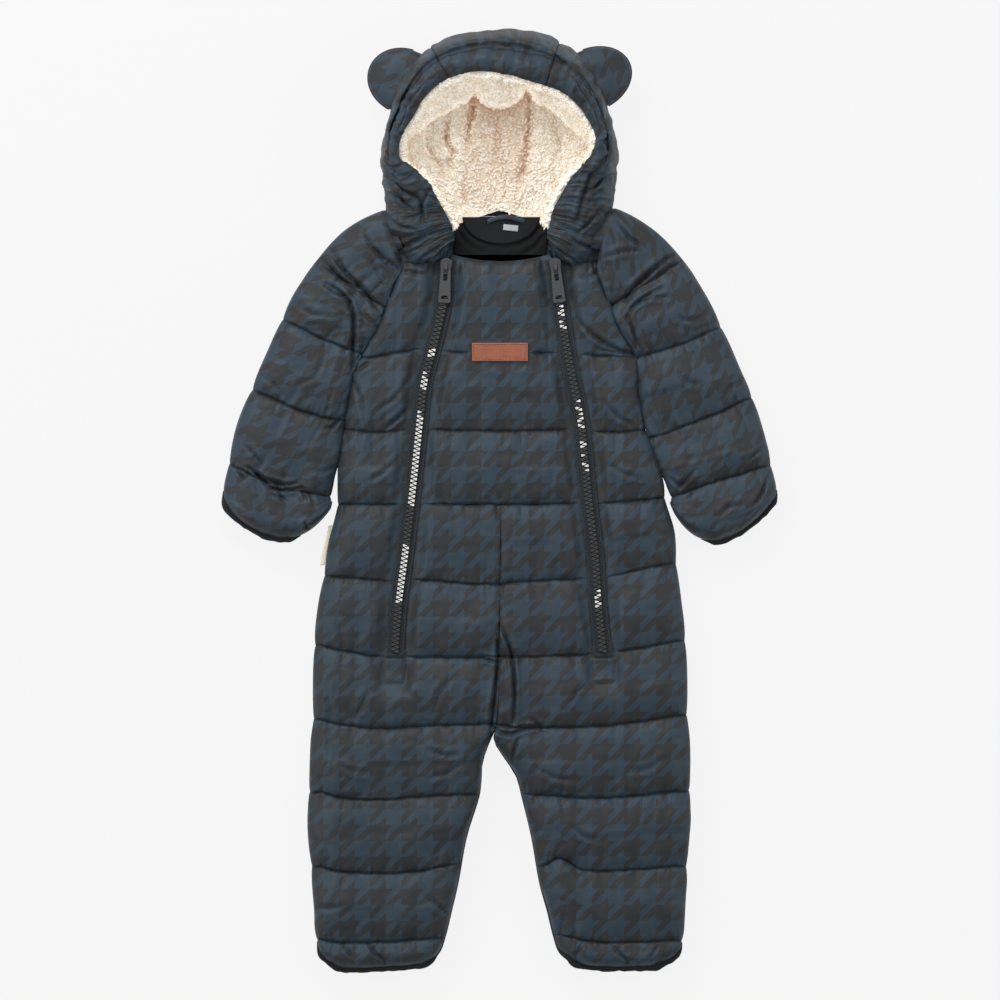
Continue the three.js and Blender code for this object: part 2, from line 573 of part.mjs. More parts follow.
function backLeg(side) {
  const inward = side === 'right' ? 1 : -1;
  return backPanel({
    rows: BACK_LEG_ROWS,
    trimTop: SEAM_GAP / 2,
    columns: (y, line) => {
      const outer = scalloped(side, y, line) + inward * (SEAM_GAP / 2);
      const inner = innerEdge[side](y) - inward * (SEAM_GAP / 2);
      const near = EDGE_STEPS.map((step) => outer + inward * step);
      const far = EDGE_STEPS.map((step) => inner - inward * step).reverse();
      return [...near, (near.at(-1) + far[0]) / 2, ...far];
    },
    free: (x, y, line) => {
      const outer = Math.abs(x - scalloped(side, y, line));
      const inner = Math.abs(x - innerEdge[side](y));
      const seamed = smooth((CROTCH_Y + 8 - y) / 22);
      return flatRoll(outer, 1) * flatRoll(inner, seamed) * hemRoll(y);
    },
  });
}

// A point of a sleeve: line counted in quilt lines, across from 0 at the outer edge to 1 beside the body
const SLEEVE_TRACKS = Object.fromEntries(['right', 'left'].map((side) => [side, Object.fromEntries(
  ['outerX', 'outerY', 'midX', 'midY', 'innerX', 'innerY'].map((name) => [name, track(SLEEVES[side], 'line', name)]),
)]));

function sleevePlace(side, line, across) {
  const at = SLEEVE_TRACKS[side];
  const weights = [(1 - across) * (1 - 2 * across), 4 * across * (1 - across), across * (2 * across - 1)];
  const blend = (axis) => weights[0] * at[`outer${axis}`](line)
    + weights[1] * at[`mid${axis}`](line) + weights[2] * at[`inner${axis}`](line);
  return [blend('X'), blend('Y')];
}

// One layer of a sleeve. The edge beside the body runs on under the raglan seam, where the body then cuts it.
function sleeveLayer(side, front) {
  const outer = [];
  for (const line of front ? SLEEVE_ROWS : SLEEVE_BACK_ROWS) {
    const start = sleevePlace(side, line, 0);
    const end = sleevePlace(side, line, 1);
    const width = Math.hypot(end[0] - start[0], end[1] - start[1]);
    const free = smooth((line - 1) / 0.35);
    const spare = 5 * (1 - free);
    const draw = SCALLOP * (1 - fullness(line)) * smooth((line - 0.2) / 0.3);
    const distances = [
      ...EDGE_STEPS.map((step) => step + draw),
      width * 0.38,
      width * 0.62,
      ...EDGE_STEPS.map((step) => width - step - draw * free).reverse(),
    ];
    if (spare > 0) distances[distances.length - 1] = width + spare;
    const cuff = roll((CUFF_LINE - line) * SLEEVE_CHANNEL, 1, HEM_RADIUS);
    const row = distances.map((distance) => {
      const [x, y] = sleevePlace(side, line, distance / width);
      const nearOuter = Math.max(0, distance - draw);
      const nearInner = Math.max(0, width - distance - draw * free);
      if (front) {
        const pad = FRONT_CROWN * channel(line) * roll(nearOuter, 1) * roll(nearInner, free) * cuff;
        return point(x, y, FRONT_BASE + pad);
      }
      return point(x, y, BACK_THICK * (1 - roll(nearOuter, 1) * flatRoll(nearInner, free) * cuff));
    });
    outer.push(row);
  }
  return closedOnPlane(outer, front ? FRONT_BASE : BACK_THICK);
}

// Plan outline of the body between its raglan and side seams, grown by the seam gap
function bodyOutline() {
  const lines = [...new Set([...BODY_ROWS, 3.2, 3.6])];
  const side = (name, sign) => {
    const upper = [250, 241, 232, 222, 210].map((y) => [bodyEdge[name](y) + sign * SEAM_GAP / 2, y]);
    const lower = lines.map((line) => {
      const y = quiltY(line);
      const x = scalloped(name, y, line);
      return [x + sign * SEAM_GAP / 2, lineY(line, name, x)];
    });
    return [...upper, ...lower];
  };
  return [...side('right', -1), ...side('left', 1).reverse()];
}

// Hood sections
function hoodPlace(station, [share, inset, heightShare, lift], grow = 0) {
  const width = Math.hypot(station.rimX - station.outX, station.rimY - station.outY);
  const reach = share * width + inset - grow;
  const x = station.outX + ((station.rimX - station.outX) / width) * reach;
  const y = station.outY + ((station.rimY - station.outY) / width) * reach;
  return point(x, y, Math.max(0, heightShare * station.height + lift));
}

function hoodGrid(stations, layer, shift = [0, 0], grow = 0) {
  return stations.map((station) => HOOD_SECTION.map((section) => {
    const [share, inset, heightShare, lift] = section[layer];
    return hoodPlace(station, [share, inset + shift[0], heightShare, lift + shift[1]], grow);
  }));
}

// The hood's floor on the surface, closed at the back neck seam
function hoodFloor(inset, low, high) {
  const stations = HOOD_STATIONS.slice(FLOOR_FROM, HOOD_STATIONS.length - FLOOR_FROM);
  const outline = stations.map((station) => {
    const place = hoodPlace(station, [0, inset, 0, 0]);
    return [place.x, place.y];
  });
  return prism(outline, low, high);
}

function hoodOutline(grow) {
  return HOOD_STATIONS.map((station) => {
    const place = hoodPlace(station, [0, 0, 0, 0], grow);
    return [place.x, place.y];
  });
}

// Everything of the hood that would lie in the body's back layer is left to the back panel
const neckBlock = solid(block([-140, 100, -5], [140, NECK_Y, FRONT_BASE]));

function hoodBodies() {
  const ring = closedWall(hoodGrid(HOOD_STATIONS, 'outer'), hoodGrid(HOOD_STATIONS, 'inner'));
  const shell = solid(ring).add(solid(hoodFloor(17, 0, HOOD_SHELL))).subtract(neckBlock);
  const lined = HOOD_STATIONS.slice(FIRST_LINED, HOOD_STATIONS.length - FIRST_LINED);
  const pileBack = hoodGrid(lined, 'inner', [SEAM_GAP + 0.1, 0.05]);
  pileBack.forEach((row) => row.forEach((p, i) => {
    p.z += i < 3 ? SEAM_GAP : -SEAM_GAP - 0.1;
  }));
  const pile = solid(closedWall(hoodGrid(lined, 'pile'), pileBack))
    .add(solid(hoodFloor(20, HOOD_SHELL + SEAM_GAP, HOOD_SHELL + SEAM_GAP + PILE_THICK)))
    .subtract(neckBlock);
  return { shell, pile };
}

// A padded ear: an oval pillow standing out of the hood's side, cut to two halves along its seam
function earHalves(side, hoodSolid) {
  const ear = EARS[side];
  const angle = Math.atan2(ear.outward[1], ear.outward[0]);
  const pillow = new THREE.SphereGeometry(1, 18, 8);
  pillow.rotateX(Math.PI / 2);
  pillow.scale(ear.reach, ear.half, EAR_HALF_THICK);
  pillow.rotateY(EAR_DROOP);
  pillow.rotateZ(angle);
  pillow.translate(ear.x, ear.y, EAR_Z);
  const whole = solid(pillow).subtract(hoodSolid);
  const half = (low, high) => {
    const slab = block([-60, -60, low], [60, 60, high]);
    slab.rotateY(EAR_DROOP);
    slab.rotateZ(angle);
    slab.translate(ear.x, ear.y, EAR_Z);
    return geometryOf(whole.intersect(solid(slab)));
  };
  return { front: half(SEAM_GAP / 2, 40), back: half(-40, -SEAM_GAP / 2) };
}

// A narrow edge binding round a hem or cuff, with the flat opening between its two lips
function edgeBinding(path) {
  const outwards = path.map((p, i) => {
    const before = path[Math.max(i - 1, 0)];
    const after = path[Math.min(i + 1, path.length - 1)];
    const along = [after[0] - before[0], after[1] - before[1]];
    const size = Math.hypot(...along);
    return [along[1] / size, -along[0] / size];
  });
  const middle = path[Math.floor(path.length / 2)];
  const chordX = (path[0][0] + path.at(-1)[0]) / 2 - middle[0];
  const chordY = (path[0][1] + path.at(-1)[1]) / 2 - middle[1];
  const normal = outwards[Math.floor(path.length / 2)];
  const sign = normal[0] * chordX + normal[1] * chordY > 0 ? -1 : 1;
  const offset = (i, distance, z) => point(
    path[i][0] + sign * outwards[i][0] * distance,
    path[i][1] + sign * outwards[i][1] * distance,
    z,
  );
  const band = (from, to, near, far, low, high, round) => {
    const steps = [low, low + round, high - round, high];
    const bulge = [near + (far - near) * 0.6, far, far, near + (far - near) * 0.6];
    const outer = [];
    const inner = [];
    for (let i = from; i <= to; i += 1) {
      outer.push(steps.map((z, k) => offset(i, round > 0.5 ? bulge[k] : far, z)));
      inner.push(steps.map((z) => offset(i, near, z)));
    }
    return closedWall(outer, inner);
  };
  const whole = solid(band(0, path.length - 1, SEAM_GAP, BINDING_THICK + SEAM_GAP, BINDING_LOW, BINDING_HIGH, 2.5));
  const slitLow = BACK_THICK;
  const slit = solid(band(1, path.length - 2, -1, BINDING_THICK + 2, slitLow, slitLow + BINDING_SLIT, 0.1));
  return geometryOf(whole.subtract(slit));
}

function cuffBinding(side) {
  const steps = 9;
  const path = [];
  for (let i = 0; i <= steps; i += 1) path.push(sleevePlace(side, CUFF_LINE, mix(0.005, 0.66, i / steps)));
  return edgeBinding(path);
}

function hemBinding(side) {
  const inward = side === 'right' ? 1 : -1;
  const down = HEM_ROWS.map((line) => [scalloped(side, quiltY(line), line), quiltY(line)]);
  const endX = scalloped(side, HEM_Y, 9.35);
  const innerX = innerEdge[side](HEM_Y);
  const along = [0, 0.35, 0.65, 1].map((t) => [mix(endX, innerX, t), HEM_Y]);
  const up = [...HEM_ROWS].reverse().slice(0, 3).map((line) => [innerEdge[side](quiltY(line)), quiltY(line)]);
  const path = [...down, ...along, ...up];
  return edgeBinding(inward > 0 ? path : path.reverse());
}

// Strips that follow a zip, with a crowned top where wanted
function zipStrip(side, top, end, width, low, high, crown = 0) {
  const rows = 13;
  const outer = [];
  for (let i = 0; i <= rows; i += 1) {
    const y = mix(top, end, i / rows);
    const x = zipLine[side](y);
    const shares = crown > 0 ? [-0.5, -0.3, 0.3, 0.5] : [-0.5, 0.5];
    outer.push(shares.map((share) => point(x + share * width, y, high - (Math.abs(share) > 0.4 ? crown : 0))));
  }
  return closedOnPlane(outer, low);
}

const TAPE_LOW = FRONT_BASE + ZIP_BED + SEAM_GAP;
const CHAIN_LOW = TAPE_LOW + TAPE_THICK + SEAM_GAP;

// Slider with its bridge, in its own frame: x across, y along the zip, z up from the tape
function slider() {
  const half = SLIDER.length / 2;
  const shape = new THREE.Shape();
  shape.moveTo(-SLIDER.waist / 2, -half);
  shape.lineTo(SLIDER.waist / 2, -half);
  shape.lineTo(SLIDER.width / 2, half * 0.1);
  shape.lineTo(SLIDER.width / 2, half * 0.7);
  shape.quadraticCurveTo(0, half * 1.3, -SLIDER.width / 2, half * 0.7);
  shape.lineTo(-SLIDER.width / 2, half * 0.1);
  const body = new THREE.ExtrudeGeometry(shape, { depth: SLIDER.top - CHAIN_LOW, bevelEnabled: false, curveSegments: 4 });
  body.translate(0, 0, CHAIN_LOW);
  const reach = BRIDGE.length / 2;
  const arch = new THREE.Shape();
  arch.moveTo(-reach, -0.4);
  arch.lineTo(-reach, BRIDGE.crest - 1.4);
  arch.lineTo(-reach + 1.4, BRIDGE.crest);
  arch.lineTo(reach - 1.4, BRIDGE.crest);
  arch.lineTo(reach, BRIDGE.crest - 1.4);
  arch.lineTo(reach, -0.4);
  arch.lineTo(reach - BRIDGE.wall, -0.4);
  arch.lineTo(reach - BRIDGE.wall, BRIDGE.clear);
  arch.lineTo(-reach + BRIDGE.wall, BRIDGE.clear);
  arch.lineTo(-reach + BRIDGE.wall, -0.4);
  const bridge = new THREE.ExtrudeGeometry(arch, { depth: BRIDGE.width, bevelEnabled: false });
  bridge.translate(0, 0, -BRIDGE.width / 2);
  bridge.rotateX(Math.PI / 2);
  bridge.rotateZ(Math.PI / 2);
  bridge.translate(0, 0, SLIDER.top);
  return geometryOf(solid(body).add(solid(bridge)));
}

// Pull tab, hanging towards -y from the bar at its own origin
function pull() {
  const { length, top, foot, bar } = PULL;
  const shape = new THREE.Shape();
  shape.moveTo(-top / 2, bar);
  shape.lineTo(top / 2, bar);
  shape.lineTo(foot / 2, -length + 1.2);
  shape.lineTo(foot / 2 - 1.2, -length);
  shape.lineTo(-foot / 2 + 1.2, -length);
  shape.lineTo(-foot / 2, -length + 1.2);
  const slot = new THREE.Path();
  const half = PULL.slotWidth / 2;
  slot.moveTo(-half, -bar);
  slot.lineTo(-half, -PULL.slotEnd);
  slot.lineTo(half, -PULL.slotEnd);
  slot.lineTo(half, -bar);
  const eye = new THREE.Path();
  eye.moveTo(-3.2, -length + 3);
  eye.lineTo(3.2, -length + 3);
  eye.lineTo(2.2, -length + 6);
  eye.lineTo(-2.2, -length + 6);
  shape.holes.push(slot, eye);
  const plate = new THREE.ExtrudeGeometry(shape, { depth: PULL.thick, bevelEnabled: false });
  plate.translate(0, 0, -PULL.thick / 2);
  return plate;
}

// Direction of a zip at its slider, as a turn about +Z from straight down
function zipTurn(side) {
  const below = zipLine[side](SLIDER.y - 25);
  const above = zipLine[side](SLIDER.y);
  return Math.atan2(below - above, 25);
}

function facing(grow = 0) {
  const outline = [
    [-39.5 - grow, 214], [-37, 231], [-33, NECK_Y - SEAM_GAP], [40, NECK_Y - SEAM_GAP], [40.5, 231],
    [40 + grow, 214], [37, 205 - grow], [20, 199 - grow], [0, 197.5 - grow], [-20, 199 - grow], [-37, 206 - grow],
  ];
  return prism(outline, FRONT_BASE, FRONT_BASE + 1.2 + grow);
}

function halfMoon() {
  const outline = [];
  const steps = 14;
  for (let i = 0; i <= steps; i += 1) {
    const turn = Math.PI + (Math.PI * i) / steps;
    outline.push([1 + 33 * Math.cos(turn), 240.5 + 23 * Math.sin(turn)]);
  }
  const low = FRONT_BASE + 1.2 + SEAM_GAP;
  return prism(outline, low, low + 1);
}

function hangerLoop() {
  const outline = [];
  for (const t of [0, 0.25, 0.5, 0.75, 1]) outline.push([mix(-11, 21, t), 238.6 + 4 * Math.sin(Math.PI * t)]);
  for (const t of [1, 0.75, 0.5, 0.25, 0]) outline.push([mix(-11, 21, t), 234.6 + 4 * Math.sin(Math.PI * t)]);
  const low = FRONT_BASE + 2.2 + 2 * SEAM_GAP;
  return prism(outline, low, low + 2);
}

function sizeLabel() {
  const low = FRONT_BASE + 2.2 + 2 * SEAM_GAP;
  return prism([[2.5, 229.5], [15, 228], [15.6, 233.2], [3, 234.3]], low, low + 0.7);
}

function sideLabel() {
  const rows = [-21, -33, -45, -55];
  const near = rows.map((y) => [bodyEdge.right(y) - SEAM_GAP, y]);
  const far = rows.map((y) => [bodyEdge.right(y) - SEAM_GAP - 3.6, y - 0.8]).reverse();
  return prism([...near, ...far], FRONT_BASE - 0.6, FRONT_BASE + 0.5);
}

function frontPatch() {
  const low = FRONT_BASE + PATCH_PAD + SEAM_GAP;
  const halfX = PATCH.width / 2;
  const halfY = PATCH.height / 2;
  const outline = [
    [-halfX, -halfY], [halfX, -halfY], [halfX, halfY], [-halfX, halfY],
  ].map(([x, y]) => [PATCH.x + x, PATCH.y + y]);
  return prism(outline, low, low + PATCH.thick);
}

// Assembly
const snowsuit = new THREE.Group();
snowsuit.name = 'snowsuit';

function sewOn(name, geometry, colour, roughness = 0.8, metalness = 0) {
  const material = new THREE.MeshStandardMaterial({ color: colour, roughness, metalness });
  const mesh = new THREE.Mesh(geometry, material);
  mesh.name = name;
  snowsuit.add(mesh);
  return mesh;
}

const cutFrom = (geometry, ...cutters) => {
  let body = solid(geometry);
  for (const cutter of cutters) body = body.subtract(cutter);
  return geometryOf(body);
};

const bodyBlock = solid(prism(bodyOutline(), -5, 80));
const hoodBlock = solid(prism(hoodOutline(SEAM_GAP), FRONT_BASE - 0.1, 120));
const hoodBackBlock = solid(prism(hoodOutline(SEAM_GAP), -5, 120)).intersect(
  solid(block([-140, NECK_Y - SEAM_GAP, -10], [140, 420, 130])),
);
const facingBlock = solid(facing(SEAM_GAP));

sewOn('back_body', backBody(), COLOURS.shell);
sewOn('bib', cutFrom(bib(), facingBlock), COLOURS.shell);
for (const side of ['right', 'left']) {
  sewOn(`back_leg_${side}`, backLeg(side), COLOURS.shell);
  const sideFront = frontPanel({
    side,
    rows: [-0.12, ...BODY_ROWS],
    columns: besideZip(side),
    trimEnd: SEAM_GAP / 2,
  });
  sewOn(`side_front_${side}`, cutFrom(sideFront, hoodBlock), COLOURS.shell);
  const legFront = frontPanel({ side, rows: LEG_ROWS, columns: legColumns(side), leg: true, trimTop: SEAM_GAP / 2 });
  sewOn(`leg_front_${side}`, legFront, COLOURS.shell);
  const sleeveFront = cutFrom(sleeveLayer(side, true), bodyBlock, hoodBlock);
  const sleeveBack = cutFrom(sleeveLayer(side, false), bodyBlock, hoodBackBlock);
  sewOn(`sleeve_front_${side}`, sleeveFront, COLOURS.shell);
  sewOn(`sleeve_back_${side}`, sleeveBack, COLOURS.shell);
  sewOn(`cuff_binding_${side}`, cuffBinding(side), COLOURS.black);
  sewOn(`hem_binding_${side}`, hemBinding(side), COLOURS.black);
}

const { shell, pile } = hoodBodies();
const cheek = (low, high, grow) => solid(block([low, 100, CHEEK_Z - grow], [high, CHEEK_Y + grow, 130]));
const slabs = {
  side_right: solid(block([-200, 100, -10], [CROWN_RIGHT_X - SEAM_GAP, 450, 130])).add(cheek(-60, 0, 0)),
  crown: solid(block([CROWN_RIGHT_X, 100, -10], [CROWN_LEFT_X, 450, 130])).subtract(cheek(-70, 70, SEAM_GAP)),
  side_left: solid(block([CROWN_LEFT_X + SEAM_GAP, 100, -10], [200, 450, 130])).add(cheek(0, 52, 0)),
};
for (const [name, slab] of Object.entries(slabs)) {
  sewOn(`hood_${name}`, geometryOf(shell.intersect(slab).subtract(facingBlock)), COLOURS.shell);
  sewOn(`lining_${name}`, geometryOf(pile.intersect(slab).subtract(facingBlock)), COLOURS.pile, 1);
}

const grownRing = hoodGrid(HOOD_STATIONS, 'outer', [0, 0], SEAM_GAP + 0.05);
const ringCore = grownRing.map((row, i) => row.map((p) => {
  const core = hoodPlace(HOOD_STATIONS[i], [0, 45, 0, 0]);
  return point(core.x, core.y, p.z + (p.z < 1 ? 1 : -0.5));
}));
const hoodSolid = solid(closedWall(grownRing, ringCore));
for (const side of ['right', 'left']) {
  const halves = earHalves(side, hoodSolid);
  sewOn(`ear_front_${side}`, halves.front, COLOURS.shell);
  sewOn(`ear_back_${side}`, halves.back, COLOURS.shell);
}

sewOn('neck_facing', facing(), COLOURS.black);
sewOn('neck_half_moon', halfMoon(), COLOURS.black);
sewOn('hanger_loop', hangerLoop(), COLOURS.shell);
sewOn('size_label', sizeLabel(), COLOURS.label);
sewOn('side_label', sideLabel(), COLOURS.cream);
sewOn('front_patch', frontPatch(), COLOURS.leather, 0.6);

for (const side of ['right', 'left']) {
  const chainTop = SLIDER.y - SLIDER.length / 2 - SEAM_GAP - 0.3;
  const tape = zipStrip(side, ZIP_TOP_Y, ZIP_END_Y, TAPE_WIDTH, TAPE_LOW, TAPE_LOW + TAPE_THICK);
  const chain = zipStrip(side, chainTop, ZIP_END_Y + 2, CHAIN_WIDTH, CHAIN_LOW, CHAIN_LOW + CHAIN_THICK, 0.8);
  sewOn(`zip_tape_${side}`, tape, COLOURS.tape);
  sewOn(`zip_chain_${side}`, chain, COLOURS.teeth, 0.5, 0.4);
  const place = [zipLine[side](SLIDER.y), SLIDER.y];
  const body = sewOn(`zip_slider_${side}`, slider(), COLOURS.pull, 0.45, 0.6);
  body.position.set(...place, 0);
  body.rotation.z = zipTurn(side);
  const hinge = new THREE.Group();
  hinge.position.set(...place, PULL.axisZ);
  hinge.rotation.z = zipTurn(side);
  const tab = new THREE.Mesh(pull(), new THREE.MeshStandardMaterial({ color: COLOURS.pull, roughness: 0.5, metalness: 0.5 }));
  tab.name = `zip_pull_${side}`;
  tab.rotation.x = PULL_TILT;
  hinge.add(tab);
  snowsuit.add(hinge);
}

export default snowsuit;
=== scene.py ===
"""Looks of a padded baby snowsuit that lies flat on its back with its hood standing open.

Sizes in the tables are millimetres in the part's frame, +X to the wearer's left and +Y to the hood.
"right" and "left" are the wearer's own. Meshes are written in metres.
"""

import math

import bpy
import numpy as np
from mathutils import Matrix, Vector


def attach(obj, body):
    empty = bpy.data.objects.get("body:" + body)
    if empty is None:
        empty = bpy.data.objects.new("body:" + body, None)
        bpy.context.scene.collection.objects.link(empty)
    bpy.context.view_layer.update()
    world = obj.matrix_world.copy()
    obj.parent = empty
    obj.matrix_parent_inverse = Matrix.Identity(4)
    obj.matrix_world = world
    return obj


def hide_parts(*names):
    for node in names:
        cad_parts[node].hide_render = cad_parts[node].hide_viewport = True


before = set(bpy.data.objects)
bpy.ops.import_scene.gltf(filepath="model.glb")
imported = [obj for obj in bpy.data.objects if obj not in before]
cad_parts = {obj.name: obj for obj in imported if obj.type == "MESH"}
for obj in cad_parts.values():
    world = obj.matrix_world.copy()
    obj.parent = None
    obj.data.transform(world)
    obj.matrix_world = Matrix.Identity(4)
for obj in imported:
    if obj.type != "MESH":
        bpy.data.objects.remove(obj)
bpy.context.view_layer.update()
BODY = "suit"
MM = 0.001

# Driving dimensions, as in the solids
SEAM_GAP = 0.3
SEAM_TUCK = 0.8
CREASE_DEPTH = 1.5
CREASE_LINE = 1.15
PUCKER = 1.9
GROOVE = 1.1
SLEEVE_TUCK = 3.2
BACK_THICK = 17.35
FRONT_BASE = BACK_THICK + SEAM_GAP
FRONT_CROWN = 17.5
QUILT_SHARE = 0.4
QUILT_EXPONENT = 0.55
SCALLOP = 2.2
ROUND_RADIUS = 24.0
ROUND_BASE = 0.13
SEAM_RADIUS = 12.0
SEAM_BASE = 0.74
HEM_RADIUS = 13.0
WAIST_LINE = 3
END_LINE = 9.35
HEM_Y = -396.2
NECK_Y = 241.4
CROTCH_Y = -204.0
ARMPIT_Y = 108.0
CUFF_LINE = 3.78
CHANNEL = 63.0
SLEEVE_CHANNEL = 60.0
SLEEVE_GRAIN = 64.0
UNDER_HOOD = -0.5
SHOULDER_TUCK = 22
SHOULDER_Y = 211
STATION_LENGTH = 36.0  # along the hood's brim from one station to the next
LABEL_STEP = 20  # repeat of the grain on small plain pieces
ZIP_BED = 9.3
ZIP_HALF_BED = 9.0
ZIP_SHOULDER = 20.0
ZIP_TOP_Y = 203.5
ZIP_END_Y = -133.0
BED_END_Y = -142.0
BED_GONE_Y = -172.0
TAPE_WIDTH = 15.0
TAPE_LOW = FRONT_BASE + ZIP_BED + SEAM_GAP
TAPE_TOP = TAPE_LOW + 1.0
CHAIN_LOW = TAPE_TOP + SEAM_GAP
SLIDER_Y = 198.5
BIB_DIP = 6.0
BIB_LIFT = 1.6
PATCH_Y = 125.6
PATCH_WIDTH = 47.6
PATCH_HEIGHT = 15.6
PATCH_THICK = 1.6
PATCH_PAD = 16.2
PATCH_SEAM = 1.7
HOOD_SHELL = 9.0
HOOD_ROW_STEP = 1.65
CROWN_SEAMS = (11.45, 15.35)  # hood stations at the crown panel's two seams

# Side edges of body and legs: (y, right, left)
BODY_EDGE = [
    (241, -98, 97), (222, -97, 91), (199, -83.3, 82), (183.6, -90.1, 87),
    (163, -96.9, 94.5), (146, -104.6, 101.5), (124, -117.3, 114.8), (108, -124.1, 117.3),
    (89, -129, 119.5), (72, -132.6, 122.5), (51, -136, 128), (36, -137.7, 132.5),
    (10, -138.8, 139.8), (-12, -140.6, 143), (-40, -146.2, 148.8), (-75, -152, 151.8),
    (-102, -155.6, 154.5), (-130, -158.8, 158.6), (-170, -159.4, 159.6), (-224, -161.7, 161.8),
    (-260, -164, 162.8), (-306, -162.4, 160.6), (-350, -158.4, 157.8), (-372, -158, 157),
    (-386, -152.5, 151.5), (-396.2, -139, 134),
]
# Centre seam and inside leg edges: (y, right, left)
INNER_EDGE = [
    (0, 0, 0), (-120, 0, 0), (-185, -1.5, -1.5), (-196, -4.2, -3.6),
    (-204, -8, -5.4), (-213, -11.5, -0.9), (-224, -15, 6.8), (-236, -15.6, 14),
    (-252, -17.5, 18.2), (-286, -28, 26.4), (-326, -35.4, 33.4), (-350, -41, 40),
    (-372, -46.4, 45.4), (-386, -52, 51), (-396.2, -64, 64),
]
# Zip lines: (y, right, left)
ZIP_LINE = [
    (212, -40.8, 40.8), (205, -44.2, 44.8), (197, -46, 47.4), (170, -47.6, 50.3),
    (126, -57.8, 57.2), (99, -64.6, 62.5), (68, -68, 68.4), (-4, -75.6, 75.7),
    (-47, -80.8, 80.8), (-88, -86, 83.4), (-133, -89.3, 87.6), (-210, -92, 90),
    (-396.2, -101, 99),
]
# Quilt lines: (line, y, rise at the right end, rise at the left end)
QUILT_LINES = [
    (-0.12, 212, 0, 0), (0, 203, 0, 0), (1, 123.3, -5, 0), (2, 58.7, 0, 0),
    (3, -3.8, 0, 6), (4, -68.9, 4, 12), (5, -133, 9, 12), (6, -192, 7, 9),
    (7, -252.5, 5, 6), (8, -314, 5, 4), (9, -375, 3, 2), (9.35, -396.2, 0, 0),
]
# Lines across a sleeve: (line, outer x, outer y, middle x, middle y, inner x, inner y)
SLEEVES = {
    "right": [
        (-0.85, -87, 246, -81, 224, -70, 203), (-0.75, -101.2, 245.7, -96.9, 222.7, -83.3, 198.9),
        (-0.4, -131.8, 229.5, -109.7, 205.7, -90.1, 183.6), (0, -155.6, 204, -125, 181.1, -96.9, 163.2),
        (0.5, -173.4, 178.5, -136, 159.8, -104.6, 144.5), (1, -186.2, 154.7, -151.3, 137.7, -117.3, 124.1),
        (1.5, -198.9, 124.1, -159.8, 105.4, -127, 95.2), (2, -212.5, 95.2, -167.5, 75.7, -133.6, 67.2),
        (2.5, -224.4, 62, -181.1, 43.4, -138.2, 35.7), (3, -231.2, 32.3, -191.3, 13.6, -142, 2.6),
        (3.45, -235, 7, -187, -14.5, -142.5, -2), (3.78, -231, -8.5, -183, -32.8, -143.5, -7),
    ],
    "left": [
        (-0.85, 86, 246.5, 76, 227, 68, 205), (-0.75, 99.5, 247.4, 91.8, 229.5, 82.5, 202.3),
        (-0.4, 130.9, 229.5, 108, 209.5, 86.7, 185.3), (0, 155.6, 204, 124.1, 184, 94.5, 165),
        (0.5, 172.6, 178.5, 136, 158.5, 101.5, 146), (1, 189.5, 147.9, 151.3, 131.8, 116.5, 121.6),
        (1.5, 204, 112.2, 161.5, 98.6, 120.6, 88.4), (2, 215.5, 88, 172.6, 68.9, 128.9, 52.7),
        (2.5, 224.8, 56, 182.8, 38.3, 136, 28.9), (3, 231.6, 30, 189.6, 17.9, 143.7, 1.7),
        (3.45, 235, 8, 188, -14.5, 144.5, -3), (3.78, 232, -2, 184, -34.5, 147.5, -10.5),
    ],
}
# Hood stations from the right front corner over the crown: (outline x, y, brim edge x, y, height)
HOOD_STATIONS = [
    (-50.2, 205.9, -45, 213.6, 34), (-63.8, 197.2, -40.8, 219.3, 38), (-79.1, 199.8, -40, 224.4, 42),
    (-92.7, 215.9, -40.8, 231.2, 46), (-98.6, 236.3, -45.9, 243.1, 50), (-97.8, 255, -53.6, 255.9, 55),
    (-99.5, 273.7, -66.3, 274.6, 60), (-101.2, 293.3, -84.2, 289, 64), (-97.8, 316.2, -83.3, 307.7, 68),
    (-91.8, 337.5, -73.1, 324.7, 72), (-82.5, 358.7, -64.6, 339.2, 76), (-68, 378.3, -51, 351.9, 80),
    (-46.8, 391, -34, 359.6, 83), (-18.7, 398.7, -14.5, 362.1, 85), (11.9, 399.5, 10.2, 358.7, 85),
    (41.7, 392.7, 31.5, 351.9, 83), (64.6, 380.8, 51, 345.1, 80), (79.1, 362.1, 65.5, 334, 76),
    (89.3, 340, 75.7, 319.6, 72), (96.1, 317.1, 80.8, 304.3, 68), (100.3, 294.1, 74.8, 289, 64),
    (98.6, 272, 61.2, 274.6, 60), (96.1, 253.3, 51, 257.6, 55), (91.8, 233.8, 44.2, 244, 50),
    (86.7, 218.5, 41.7, 232.1, 46), (76.5, 204, 40.8, 225.3, 42), (62.9, 197.2, 41.7, 219.3, 38),
    (50.2, 204.9, 44.2, 213.6, 34),
]
